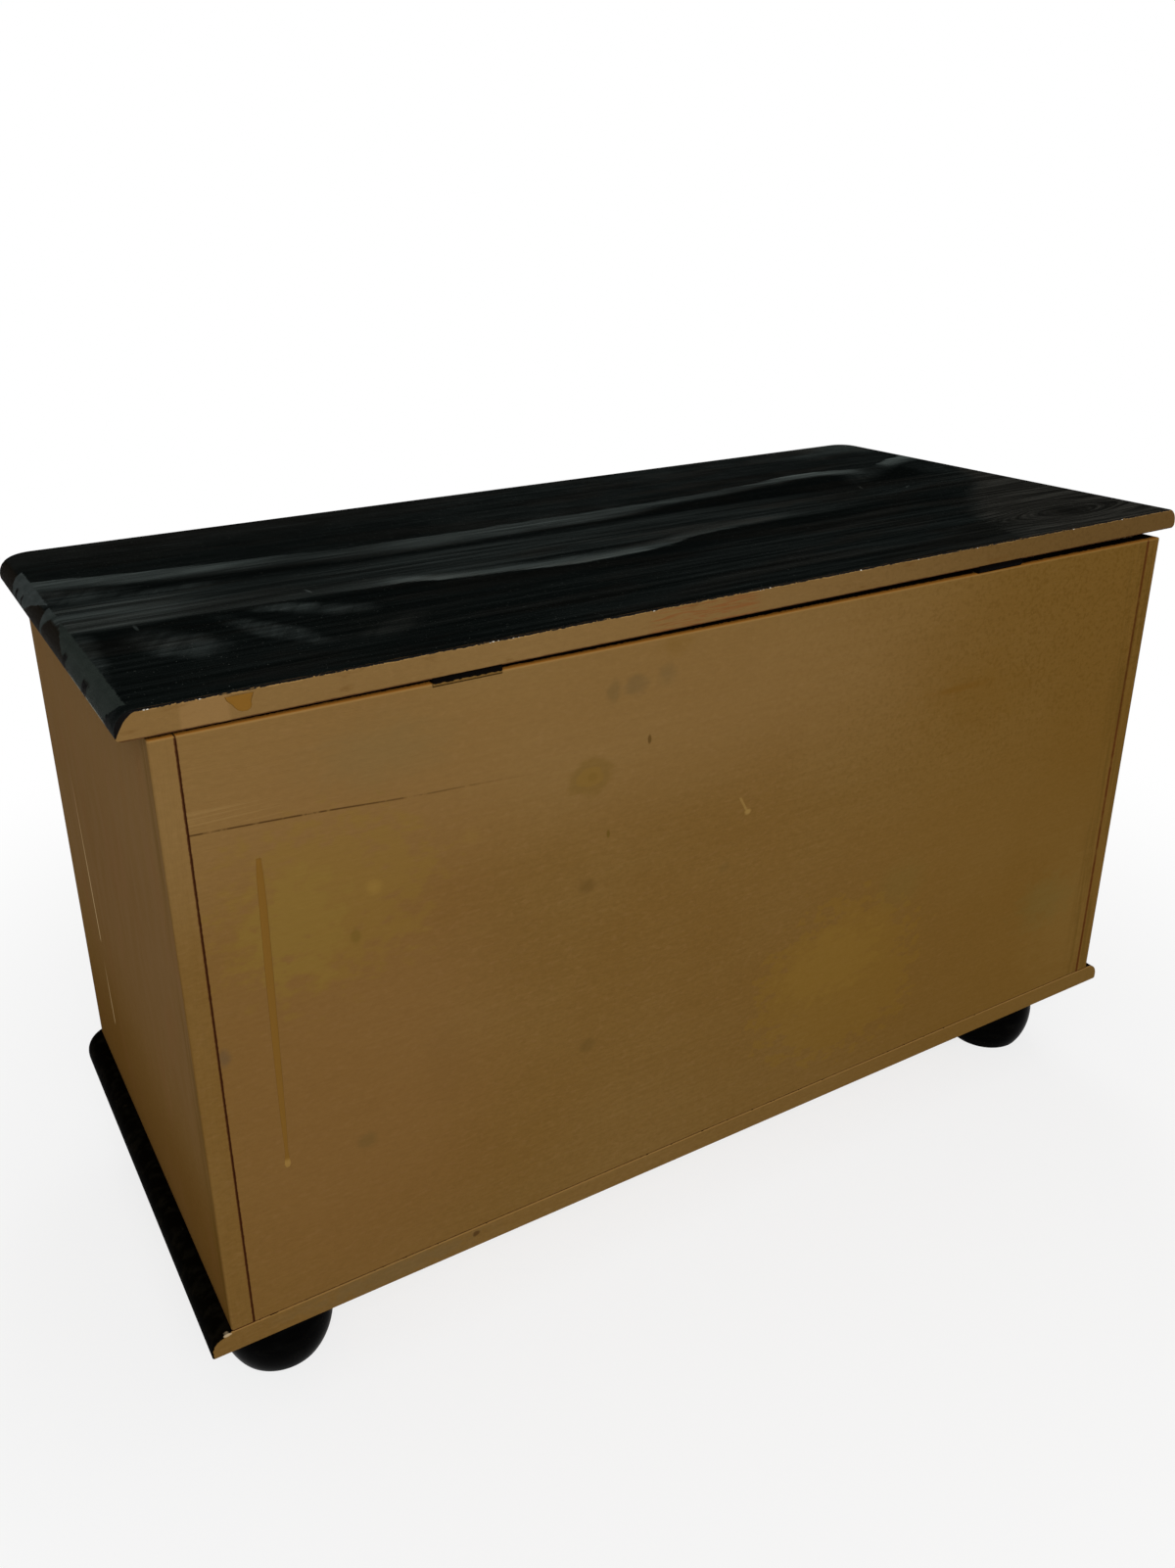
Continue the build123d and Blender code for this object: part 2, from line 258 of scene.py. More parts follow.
def byBoard(place, board):
    # the place moved by chance for each board of a panel: direction across (0, 1 or 2), start, width
    across, start, width = board
    split = node("ShaderNodeSeparateXYZ", place).node.outputs
    number = node("DIVIDE", node("SUBTRACT", split[across], start), width)
    number = node("FLOOR", number, 0.0)
    chance = node("ShaderNodeTexWhiteNoise", {"W": number}, output="Color", noise_dimensions="1D")
    centred = node("ShaderNodeVectorMath", chance, (0.5, 0.5, 0.5), operation="SUBTRACT")
    away = node("ShaderNodeVectorMath", {0: centred, "Scale": 0.34}, operation="SCALE")
    return node("ShaderNodeVectorMath", place, away, operation="ADD")


def pineColour(place, grain, board=None):
    # growth rings round a pith below the board, drawn out along the grain (0, 1 or 2), and knots
    pine = pineSet
    if board:
        place = byBoard(place, board)
    stretch = [1.0, 1.0, 1.0]
    stretch[grain] = 0.06
    moved = node("ShaderNodeMapping", {"Vector": place, "Location": (0.07, 0.05, 0.03), "Scale": stretch},
                 vector_type="POINT")
    rings = node("ShaderNodeTexWave", {"Vector": moved, "Scale": pi / 10 / (pine["ringSpacing"] * mm),
                                       "Distortion": 5.0, "Detail": 2.0, "Detail Scale": 0.6},
                 output="Fac", wave_type="RINGS", rings_direction="XYZ"[grain])
    long = [2.0, 2.0, 2.0]
    long[grain] = 90.0
    fibres = node("ease", streaks(place, long, 3.0, 11.0), 0.35, 0.65)
    late = allOf(node("ease", rings, 0.45, 0.95), node("ADD", allOf(fibres, 0.25), 0.3))
    late = node("ADD", late, allOf(fibres, 0.2))
    colour = node("mix", late, pine["early"], pine["late"])
    knotScale = 1 / (pine["knotSpacing"] * mm)
    cells = node("ShaderNodeTexVoronoi", {"Vector": place, "Scale": knotScale}, output="Distance")
    knots = node("ease", cells, 0.055, 0.035)
    return node("mix", knots, colour, pine["knot"])


def makePine(name, grain):
    # planed pine without finish: pale, with darker rings and a faint sheen along the fibres
    material, shader, place = newMaterial(name)
    long = [2.0, 2.0, 2.0]
    long[grain] = 90.0
    setInputs(shader, {"Base Color": pineColour(place, grain), "Roughness": pineSet["roughness"],
                       "Specular IOR Level": pineSet["specular"],
                       "Normal": node("bump", streaks(place, long, 4.0, 11.0), 0.1 * mm)})
    return material


# Gold paint

goldSet = {
    "tone": "#73562B",
    "greyer": "#785D33",
    "browner": "#6C4F24",
    "yellower": "#6F511E",
    # dark of the seams, also used for the painted shadow line above the base
    "seam": "#3A190C",
    "leftSeam": "#5A3216",
    # painted highlight along top arrises
    "arris": "#A07A45",
    "panelTop": "#8A5A22",
    # black smears and painted shade of the gap under the lid
    "gapDark": "#0D0806",
    "metallic": 0.18,
    "roughness": 0.62,
    "specular": 0.0,
    "laneDepth": 0.15,  # mm, brush marks
    "gritDepth": 0.035,  # mm, grit under the paint
}

# Marks on the back panel: x, z, half width, half height in mm, soft rim, torn rim, colour, share
backMarks = [
    (350, 300, 110, 210, 0.6, 0.3, "#7A5833", 0.35),  # pinker paint low on the right
    (-103, 208, 88, 76, 0.05, 0.9, "#7D5F20", 0.28),  # patch painted over again
    (-95, 225, 50, 34, 0.3, 1.3, "#82652A", 0.26),
    (-168, 283, 24, 20, 0.6, 0.6, "#6C5B2E", 0.25),
    (352, 420, 66, 58, 0.3, 1.3, "#7B6226", 0.36),  # patch with a yellow-green cast
    (372, 410, 30, 34, 0.3, 1.6, "#7E682E", 0.26),
    (310, 517, 40, 20, 0.8, 0.9, "#6A5E3C", 0.22),
    (152, 461, 19, 14, 0.20, 0.5, "#634C1C", 0.38),  # ring round a knot
    (152, 461, 11, 8, 0.16, 0.5, "#785C2A", 0.60),
    (150, 461, 4, 3, 0.4, 0.5, "#6A5022", 0.4),
    (155, 375, 6.5, 5, 0.5, 0.5, "#5A421E", 0.50),  # knots that show through
    (155, 235, 6.5, 6, 0.5, 0.5, "#5C4622", 0.45),
    (339, 223, 6.5, 6, 0.5, 0.5, "#604C29", 0.45),
    (335, 390, 3.5, 6, 0.5, 0.5, "#5F4B1D", 0.45),
    (29, 355, 6, 4, 0.5, 0.5, "#654E28", 0.35),
    (133, 522, 4.5, 9, 0.6, 1.0, "#5A4A2C", 0.36),  # grey smudges
    (113, 524, 8, 7, 0.6, 1.1, "#574930", 0.36),
    (87, 526, 7, 7, 0.7, 1.1, "#5E4E31", 0.34),
    (80, 548, 12, 8, 0.7, 1.1, "#6E5122", 0.40),
    (102, 480, 1.5, 3.6, 0.4, 0.3, "#4C3414", 0.7),  # short dark ticks
    (137, 413, 1.5, 3.2, 0.4, 0.3, "#55400F", 0.6),
    (430, 329, 4, 6, 0.6, 0.8, "#564634", 0.50),
    (248, 440, 6, 5, 0.6, 0.9, "#806430", 0.30),
    (320, 422, 5, 5, 0.6, 0.9, "#8A6D33", 0.45),
    (-213, 457, 30, 2.4, 0.8, 0.9, "#6C4A1A", 0.50),
    (-235, 447, 60, 30, 0.8, 1.2, "#6A4A16", 0.24),
    (275, 265, 16, 30, 0.8, 0.6, "#6B4E28", 0.26),
    (-395, 175, 40, 60, 0.8, 1.2, "#7A5E30", 0.40),
    (-365, 205, 30, 22, 0.8, 1.3, "#66592E", 0.30),
]
crackLine = [(197, 475), (243, 478), (283, 480), (363, 486), (436, 490)]  # x, z in mm


def goldPaint(place, split, grain):
    # gold-brown paint brushed by hand: broad clouds, brush lanes along the grain, and grit
    gold = goldSet
    clouds = node("ease", streaks(place, (280, 280, 200), 2.0), 0.35, 0.65)
    colour = node("mix", allOf(clouds, 0.7), gold["tone"], gold["greyer"])
    warm = node("ease", streaks(place, (150, 150, 120), 3.0, 7.0), 0.45, 0.78)
    colour = node("mix", allOf(warm, 0.4), colour, gold["browner"])
    lanes = node("ease", streaks(place, grain, 4.0, 3.0), 0.3, 0.7)
    dimmed = node("mix", 0.30, colour, gold["browner"])
    colour = node("mix", lanes, dimmed, colour)
    grit = node("ease", streaks(place, (5.0, 5.0, 2.2), 4.0, 15.0), 0.40, 0.62)
    colour = node("mix", allOf(grit, 0.10), colour, "#4A3312")
    pale = node("ease", streaks(place, (7.0, 7.0, 3.0), 4.0, 19.0), 0.52, 0.70)
    colour = node("mix", allOf(pale, 0.10), colour, "#94714B")
    flecks = node("ease", streaks(place, (3.6, 3.6, 3.6), 3.0, 21.0), 0.48, 0.66)
    # the paint is more speckled high on the left and more yellow there; high on the right a painted sheen
    # makes it paler and greyer
    left = node("ease", split[0], 0.10, -0.42)
    high = node("ease", split[2], baseTop + 0.20, wallTop - 0.08)
    speckled = allOf(flecks, node("ADD", allOf(left, high, 0.42), 0.06))
    colour = node("mix", speckled, colour, "#4E340F")
    colour = node("mix", allOf(left, 0.5), colour, gold["yellower"])
    paintedSheen = allOf(node("ease", split[2], baseTop + 0.28, wallTop - 0.06),
                  node("ease", split[0], -0.32, 0.02), 0.30)
    return node("mix", paintedSheen, colour, "#8C6F47")


def goldRelief(place, split, grain):
    # brush marks, strongest high on the right, over a fine grit
    gold = goldSet
    right = node("ease", split[0], 0.12, 0.40)
    high = node("ease", split[2], wallTop - 0.20, wallTop - 0.08)
    strength = node("ADD", allOf(right, high, 0.7), 0.3)
    lanes = allOf(streaks(place, grain, 3.0, 3.0), strength)
    normal = node("bump", lanes, gold["laneDepth"] * 3 * mm)
    sizes = [2.5 if g < 50 else 12.0 for g in grain]
    coarse = allOf(streaks(place, sizes, 2.0, 5.0), strength)
    normal = node("bump", coarse, gold["laneDepth"] * 2 * mm, normal)
    return node("bump", streaks(place, (1.6, 1.6, 1.6), 2.0), gold["gritDepth"] * mm, normal)


def wallEdges(place, split, colour):
    # seams beside the end panels, a painted shadow line above the base, a painted highlight on the top
    # arris, and the top under the lid dark with smears and painted shade
    gold = goldSet
    wobble = node("SUBTRACT", streaks(place, (3, 3, 3), 4.0, 9.0), 0.5)
    seamX = apart(node("ABSOLUTE", split[0], 0.0), innerX)
    seamX = node("ADD", seamX, node("MULTIPLY", wobble, 1.0 * mm))
    onBack = node("ease", split[1], backY - 3 * mm, backY - 2 * mm)
    onFront = node("ease", split[1], frontY + 3 * mm, frontY + 2 * mm)
    broken = node("ease", streaks(place, (30, 30, 17), 5.0, 2.0), 0.30, 0.50, 0.25, 1.0)
    whole = anyOf(node("ease", split[0], 0.0, 0.1), broken)
    reach = node("ease", split[0], -0.1, 0.1, 2.3 * mm, 1.2 * mm)
    upright = node("ease", node("DIVIDE", seamX, reach), 1.0, 0.45)
    upright = allOf(upright, anyOf(onBack, onFront), whole, 0.92)
    # painted shadow: a dark line just above the base, where the panel stands on it
    level = node("SUBTRACT", split[2], baseTop)
    level = node("ADD", level, node("MULTIPLY", wobble, 1.0 * mm))
    low = allOf(node("ease", level, 1.3 * mm, 0.5 * mm), 0.95)
    seamColour = node("mix", node("ease", split[0], -0.1, -0.3), gold["seam"], gold["leftSeam"])
    colour = node("mix", upright, colour, seamColour)
    colour = node("mix", low, colour, gold["seam"])
    # brush marks up and down beside the left seam
    beside = allOf(onBack, node("ease", split[0], -0.405, -0.425),
                   node("ease", streaks(place, (5, 40, 80), 3.0, 12.0), 0.45, 0.65), 0.30)
    colour = node("mix", beside, colour, "#4E3A14")
    # painted highlight: a pale line along the top arris
    drop = node("SUBTRACT", wallTop, split[2])
    arrisHighlight = allOf(node("ease", drop, 1.9 * mm, 1.2 * mm), node("ease", drop, 0.2 * mm, 0.7 * mm))
    colour = node("mix", allOf(arrisHighlight, 0.35), colour, gold["arris"])
    # on the flat top: ochre near the back edge, then black paint smears, darkened further as painted shade
    # of the gap under the lid
    onTop = node("ease", drop, 0.7 * mm, 0.3 * mm)
    depth = node("SUBTRACT", backY, split[1])
    depth = node("ADD", depth, node("MULTIPLY", wobble, 5 * mm))
    smearAndShade = node("ease", depth, 3.2 * mm, 5.2 * mm)
    topColour = node("mix", smearAndShade, gold["panelTop"], gold["gapDark"])
    return node("mix", onTop, colour, topColour), onTop


def backPanelMarks(place, split, colour):
    torn = streaks(place, (14, 14, 9), 6.0, 31.0)
    for x, z, width, height, soft, ragged, tone, share in backMarks:
        mark = spot(place, (x, 0, z), (width, endless, height), soft, ragged, torn)
        colour = node("mix", allOf(mark, share), colour, tone)
    # a crack in a board, fading away to the left, with pale painted highlights on ridges of grain above it
    # near the seam
    above = offLine(split[0], split[2], crackLine)
    broken = node("ease", streaks(place, (9, 9, 9), 4.0, 33.0), 0.30, 0.50)
    ends = allOf(node("ease", split[0], 0.17, 0.36), node("ease", split[0], 0.437, 0.434), broken)
    crack = allOf(node("ease", apart(above, 0.0), 0.8 * mm, 0.3 * mm), ends, 0.8)
    colour = node("mix", crack, colour, "#3A2410")
    # painted highlight: pale lines on the grain ridges above the crack
    near = allOf(node("ease", split[0], 0.34, 0.42), span(above, 3.0, 14.0, 2.5))
    ridges = node("ease", streaks(place, (120, 40, 1.7), 1.0, 35.0), 0.48, 0.58)
    colour = node("mix", allOf(near, ridges, 0.14), colour, "#A98A58")
    # a pale diagonal scratch with a dab at its end
    slant = offLine(split[2], split[0], [(395, 7), (415, 18)])
    scratch = allOf(span(split[2], 401, 411, 2), node("ease", apart(slant, 0.0), 1.7 * mm, 0.6 * mm))
    colour = node("mix", allOf(scratch, 0.32), colour, "#A5864A")
    dab = spot(place, (8, 0, 398), (3.0, endless, 2.2), 0.5, 0.5, torn)
    return node("mix", allOf(dab, 0.45), colour, "#A5864A")


# Pale streaks on the right end: z and y of the upper and of the lower end, half width in mm
endStreaks = [((428, -114), (256, -100), 2.4), ((243, -103), (172, -99), 2.0)]


def endPanelMarks(place, split, colour):
    # greyer paint high up, darker and more yellow low down where a painted shadow falls over the base,
    # mottled up and down by the brush
    outer = allOf(node("ease", split[1], backY - 1.5 * mm, backY - 3.5 * mm),
                  node("ease", split[0], endX - 2.5 * mm, endX - 1.0 * mm))
    mottle = node("ease", streaks(place, (30, 16, 70), 5.0, 37.0), 0.38, 0.64)
    lighter = allOf(outer, node("ease", split[2], 0.16, 0.34), node("ADD", allOf(mottle, 0.22), 0.52))
    colour = node("mix", lighter, colour, "#7E6342")
    pinker = node("ease", streaks(place, (30, 40, 90), 4.0, 43.0), 0.50, 0.68)
    colour = node("mix", allOf(outer, pinker, 0.24), colour, "#7E5A3A")
    # painted shadow: darker and more yellow low down, over the base
    colour = node("mix", allOf(outer, node("ease", split[2], 0.26, 0.12, 0.0, 0.55)), colour, "#5E4018")
    olive = allOf(node("ease", split[1], backY - 24 * mm, backY - 10 * mm), outer,
                  node("ease", streaks(place, (9, 5, 110), 3.0, 47.0), 0.40, 0.60), 0.38)
    colour = node("mix", olive, colour, "#54400F")
    for (top, topY), (low, lowY), width in endStreaks:
        aside = offLine(split[2], split[1], [(low, lowY), (top, topY)])
        streak = allOf(node("ease", apart(aside, 0.0), width * mm, 0.4 * width * mm),
                       node("ease", split[2], top * mm, (0.3 * top + 0.7 * low) * mm),
                       node("ease", split[2], (low - 2) * mm, (low + 3) * mm), 0.75)
        colour = node("mix", streak, colour, "#CBB083")
    return colour


def makeGold(name, grainWay, marks=None):
    # metallic gold-brown wall paint over pine: nearly matte, with a dull fleck; bare wood inside
    material, shader, place = newMaterial(name)
    grain = [3.0, 3.0, 3.0]
    grain[grainWay] = 150.0
    split = node("ShaderNodeSeparateXYZ", place).node.outputs
    colour = goldPaint(place, split, grain)
    if marks:
        colour = marks(place, split, colour)
    colour, onTop = wallEdges(place, split, colour)
    inX = node("ease", node("ABSOLUTE", split[0], 0.0), innerX + 0.5 * mm, innerX + 0.1 * mm)
    away = apart(split[1], middleY)
    inY = node("ease", away, innerY - middleY + 0.5 * mm, innerY - middleY + 0.1 * mm)
    inside = allOf(inX, inY)
    board = (1, frontY, (backY - frontY) / 4) if grainWay == 2 else (2, baseTop, (wallTop - baseTop) / 4)
    colour = node("mix", inside, colour, pineColour(place, grainWay, board))
    painted = node("SUBTRACT", 1.0, anyOf(inside, onTop))
    setInputs(shader, {"Base Color": colour, "Metallic": allOf(painted, goldSet["metallic"]),
                       "Roughness": goldSet["roughness"], "Specular IOR Level": goldSet["specular"],
                       "Specular Tint": "#8A6A3C", "Normal": goldRelief(place, split, grain)})
    return material


# Black paint of the lid

lidSet = {
    "black": "#060A09",
    "brownBlack": "#0E0C09",
    # grey and brownish tints of the painted sheen
    "sheenAndSmudges": "#5E6764",
    "brownSheenAndSmudges": "#615E56",
    "roughness": 0.45,
    "specular": 0.05,
    "rounding": 13.0,  # mm, as the solids of the lid and the base have it
    "rimWidth": 10.5,  # mm in from the end, where the paint of the top stops
    # front edge of the front band of painted sheen, back edge of the back band, edge of the brown rear
    # corner: x, y in mm
    "frontBand": [(-470, -118), (-430, -108), (-400, -96), (-365, -86), (-330, -93), (-290, -96),
                  (-240, -88), (-150, -76), (-60, -71), (90, -68), (200, -67), (260, -74), (320, -80),
                  (380, -88), (430, -98), (470, -105)],
    "bandWidth": [(-470, 34), (-430, 28), (-340, 30), (-300, 21), (-150, 22), (-50, 35), (60, 42),
                  (200, 42), (300, 38), (470, 36)],
    "backBand": [(-470, 16), (-399, 20), (-312, 33), (-250, 39), (-199, 47), (-132, 53), (-60, 60),
                 (-12, 76), (28, 83), (80, 83), (130, 76), (185, 70), (225, 58), (470, 58)],
    "rearEdge": [(-452, -40), (-412, 18), (-340, 88), (-290, 140), (-262, 225)],
    # how strong the painted sheen of the bands and of the zone between them is: x, percent
    "frontShare": [(-470, 95), (-430, 82), (-402, 60), (-380, 12), (-352, 50), (-300, 82), (-200, 38),
                   (-50, 46), (50, 52), (150, 38), (235, 24), (340, 48), (400, 56), (440, 70), (470, 58)],
    "backShare": [(-470, 0), (-340, 9), (-200, 13), (-140, 28), (-50, 34), (0, 40), (40, 64), (100, 60),
                  (150, 48), (200, 60), (230, 34), (270, 20), (345, 18), (400, 8), (470, 0)],
    "zoneShare": [(-470, 11), (-400, 8), (-340, 5), (-250, 6), (-180, 10), (0, 12), (200, 14), (310, 11),
                  (370, 18), (425, 27), (470, 20)],
    "knot": (-379, 171, 80, 24),  # x, y, half length and half width of the figure round it, mm
    # black of the right end lapped over the back edge: height under the top, distance from the end, mm
    "lap": [(-18, 0.0), (-13, 2.2), (-8.5, 4.8), (-4, 8.8), (-1, 14), (0, 19)],
}
# Smudges and short scratches: x, y, half length, half width in mm, soft rim, share, turn in degrees
lidSmudges = [
    (400, 120, 19, 34, 0.6, 0.20, 24), (458, 108, 10, 52, 0.6, 0.17, 0), (338, 118, 12, 42, 0.5, 0.18, 26),
    (282, 97, 27, 13, 0.6, 0.18, -27), (311, 73, 20, 8, 0.6, 0.27, -20), (262, 152, 30, 13, 0.8, 0.09, 29),
    (432, -38, 30, 16, 0.9, 0.22, 0), (378, -22, 36, 9, 0.8, 0.20, 0), (455, -50, 14, 26, 0.7, 0.16, 0),
    (-215, 104, 24, 9, 0.9, 0.08, 0), (-345, -52, 40, 13, 0.8, 0.12, 35), (-435, -38, 24, 40, 0.8, 0.10, 0),
    (286, 41, 1.4, 6, 0.5, 0.5, 8), (416, 61, 1.2, 7, 0.5, 0.3, 0), (-340, 13, 6, 1.2, 0.5, 0.3, 30),
    (-299, -9, 1.2, 6, 0.5, 0.3, -20),
]


def knotGrain(x, y):
    # grain lines that part round a knot and close again behind it
    knotX, knotY, halfLong, halfWide = lidSet["knot"]
    reach = node("DIVIDE", node("SUBTRACT", x, knotX * mm), halfLong * mm)
    bell = node("POWER", 2.718, allOf(reach, reach, -1.0))
    bulge = allOf(bell, halfWide * mm)
    aside = node("SUBTRACT", y, knotY * mm)
    parted = node("SUBTRACT", allOf(aside, aside), allOf(bulge, bulge))
    root = node("SQRT", node("ABSOLUTE", parted, 0.0), 0.0)
    line = node("MULTIPLY", root, node("SIGN", parted, 0.0))
    flat = node("ShaderNodeCombineXYZ", x, line)
    return node("ease", streaks(flat, (120, 3.2, 50), 4.0, 27.0), 0.36, 0.62)


def turnedSpot(x, y, middle, size, soft, turn, wobble):
    # an oval mark on the lid, turned about its middle
    across = node("SUBTRACT", x, middle[0] * mm)
    up = node("SUBTRACT", y, middle[1] * mm)
    c, s = cos(radians(turn)), sin(radians(turn))
    first = node("ADD", allOf(across, c / (size[0] * mm)), allOf(up, s / (size[0] * mm)))
    second = node("SUBTRACT", allOf(up, c / (size[1] * mm)), allOf(across, s / (size[1] * mm)))
    squares = node("ADD", allOf(first, first), allOf(second, second))
    away = node("ADD", node("SQRT", squares, 0.0), wobble)
    return node("ease", away, 1 + soft, 1 - soft)


def lidSheenAndSmudges(place, split):
    # how much painted sheen and smudges lighten the black, from 0 to 1, how brown that tint and the black
    # are, and the fine grain
    lid = lidSet
    x = split[0]
    wave = node("SUBTRACT", streaks(place, (90, 40, 40), 4.0, 2.0), 0.5)
    feather = node("SUBTRACT", streaks(place, (30, 2.2, 20), 4.0, 6.0), 0.5)
    y = node("ADD", split[1], node("ADD", allOf(wave, 8 * mm), allOf(feather, 12 * mm)))
    fine = node("ease", streaks(place, (45, 1.4, 40), 5.0, 4.0), 0.30, 0.70)
    broad = node("ease", streaks(place, (200, 6, 60), 5.0, 8.0), 0.32, 0.68)
    cloud = node("ease", streaks(place, (60, 26, 60), 5.0, 14.0), 0.34, 0.66)
    strokes = node("ease", streaks(place, (7, 60, 40), 4.0, 18.0, 0.4, 30), 0.34, 0.62)
    figure = knotGrain(x, split[1])

    # painted sheen: two bands along the lid, and the zone between them
    percent = 0.01
    front = offLine(x, y, lid["frontBand"])
    width = allOf(profile(x, lid["bandWidth"]), mm)
    ribs = node("ease", streaks(place, (80, 4.5, 40), 3.0, 33.0), 0.36, 0.60, 0.68, 1.06)
    share = allOf(profile(x, lid["frontShare"]), percent)
    fade = node("ease", node("DIVIDE", front, width), 1.15, 0.35)
    frontBand = allOf(node("ease", front, -1.0 * mm, 2.5 * mm), fade, share, ribs)
    back = offLine(x, y, lid["backBand"])
    share = allOf(profile(x, lid["backShare"]), percent)
    backBand = allOf(node("ease", back, 1.0 * mm, -2.5 * mm), node("ease", back, -30 * mm, -7 * mm),
                     share)
    share = allOf(profile(x, lid["zoneShare"]), percent)
    zone = allOf(node("ease", y, -26 * mm, -10 * mm), node("ease", y, 62 * mm, 46 * mm),
                 node("ADD", allOf(broad, 0.7), 0.65), share)
    sheenAndSmudges = anyOf(frontBand, backBand, zone)

    # painted sheen on the rear left corner, with a knot's grain in it, and thin painted sheen in front of
    # it and along the front
    rearLine = node("ADD", offLine(x, y, lid["rearEdge"]), allOf(wave, 30 * mm))
    rearSide = node("ADD", x, allOf(feather, 90 * mm))
    rear = allOf(node("ease", rearSide, -0.20, -0.33), node("ease", rearLine, -14 * mm, 30 * mm))
    grained = node("POWER", figure, 1.6)
    corner = allOf(rear, node("ADD", allOf(grained, 0.32), 0.07))
    clear = node("ease", back, 8 * mm, 60 * mm)
    middle = allOf(clear, node("ease", x, 0.20, -0.10, 0.02, 0.07), node("ADD", broad, 0.4))
    strip = node("ease", front, 2 * mm, -4 * mm)
    lower = node("ease", split[1], -0.135, -0.175)
    thin = node("ease", x, 0.16, 0.05, 0.035, 0.075)
    thin = node("ADD", thin, allOf(lower, node("ease", x, -0.28, -0.42, 0.03, 0.18)))
    low = allOf(strip, thin, node("ADD", allOf(cloud, 0.7), 0.6))
    sheenAndSmudges = anyOf(sheenAndSmudges, corner, middle, low)
    rough = allOf(node("SUBTRACT", cloud, 0.5), 0.5)
    for spotX, spotY, length, half, soft, share, turn in lidSmudges:
        large = length > 9 or half > 9
        wobble = rough if large else 0.0
        mark = turnedSpot(x, split[1], (spotX, spotY), (length, half), soft, turn, wobble)
        if large:
            mark = allOf(mark, node("ADD", allOf(strokes, 0.5), 0.7))
        sheenAndSmudges = anyOf(sheenAndSmudges, allOf(mark, share))
    sheenAndSmudges = allOf(sheenAndSmudges, node("ADD", allOf(fine, 0.5), 0.76), node("ADD", allOf(broad, 0.4), 0.47))
    sheenAndSmudges = node("ADD", sheenAndSmudges, node("ADD", allOf(fine, broad, 0.03), 0.004))
    pinkish = turnedSpot(x, split[1], (258, 140), (44, 34), 0.8, 0, rough)
    tinted = node("ease", streaks(place, (120, 34, 60), 4.0, 24.0), 0.46, 0.62)
    nearFront = allOf(strip, node("ease", split[1], -0.13, -0.19), node("ease", x, 0.02, 0.20))
    brown = anyOf(allOf(rear, 0.85), allOf(pinkish, 0.8),
                  allOf(tinted, node("ease", x, 0.30, -0.30, 0.2, 0.6)))
    brown = allOf(brown, node("ease", frontBand, 0.20, 0.05))
    brownBlack = anyOf(allOf(rear, 0.7), nearFront, allOf(tinted, 0.5))
    return sheenAndSmudges, brown, brownBlack, fine


# Patches of painted sheen on the rounded right end: where each starts and ends, as y in mm at the
# crest and at the lower edge
rimSheenPatches = [((-142, -122), (-28, -82)), ((-23, -8), (3, -6)), ((14, 94), (208, 190))]
# Torn places there: y, half length in mm, lean towards the lower edge
rimTears = [(-116, 3.5, 12), (-92, 2.5, 12), (136, 8, 8), (74, 6, 8)]


def paintRim(place, split, height, black):
    # grey patches of painted sheen, torn away to a brownish black, with a pale worn line low down
    out = node("SUBTRACT", lidEnd, split[0])
    across = node("ADD", out, height)  # from 13 mm at the crest to -17 mm at the lower edge
    down = node("ShaderNodeMapRange", across, 11 * mm, -16 * mm)
    broad = node("SUBTRACT", streaks(place, (24, 11, 12), 5.0, 13.0), 0.5)
    ragged = node("SUBTRACT", streaks(place, (4, 4, 4), 4.0, 77.0), 0.5)
    y = node("ADD", split[1], node("ADD", allOf(broad, 16 * mm), allOf(ragged, 7 * mm)))
    sheenPatch = None
    for start, end in rimSheenPatches:
        edges = []
        for crest, low in (start, end):
            edges.append(node("ADD", allOf(down, (low - crest) * mm), crest * mm))
        rise = node("ease", node("SUBTRACT", y, edges[0]), -0.8 * mm, 0.8 * mm)
        one = allOf(rise, node("ease", node("SUBTRACT", edges[1], y), -0.8 * mm, 0.8 * mm))
        sheenPatch = anyOf(sheenPatch, one) if sheenPatch else one
    torn = None
    for middle, half, lean in rimTears:
        aside = node("SUBTRACT", y, node("ADD", allOf(down, -lean * mm), (middle + lean) * mm))
        one = allOf(node("ease", apart(aside, 0.0), (half + 1) * mm, (half - 1) * mm),
                    node("ease", down, 0.45, 0.60))
        torn = anyOf(torn, one) if torn else one
    sheenPatch = allOf(sheenPatch, node("SUBTRACT", 1.0, torn))
    rimWidth = lidSet["rimWidth"]
    near = node("ADD", out, allOf(ragged, 3 * mm))
    near = node("ease", near, (rimWidth + 0.5) * mm, (rimWidth - 0.5) * mm)
    brown = allOf(near, node("ease", across, 7 * mm, 3 * mm), node("ease", y, 0.190, 0.180))
    colour = node("mix", brown, black, "#1C1812")
    dark = allOf(near, torn, node("ease", across, 7 * mm, 3 * mm))
    colour = node("mix", dark, colour, "#0C0A08")
    mottle = node("ease", streaks(place, (9, 14, 9), 5.0, 79.0), 0.35, 0.65)
    # painted sheen: grey where the rounding catches the light, mottled
    sheenGrey = node("mix", node("ease", split[1], -0.03, 0.02), "#3C4241", "#2B312D")
    sheenGrey = node("mix", allOf(mottle, 0.35), sheenGrey, "#1E2321")
    colour = node("mix", allOf(near, sheenPatch), colour, sheenGrey)
    worn = allOf(node("ease", node("ADD", height, allOf(ragged, 3 * mm)), -13.2 * mm, -14.6 * mm),
                 node("ease", y, 0.082, 0.096), node("ease", y, 0.196, 0.186), near,
                 node("ease", streaks(place, (9, 9, 9), 3.0, 83.0), 0.30, 0.50))
    return node("mix", allOf(worn, 0.85), colour, "#8C8676")


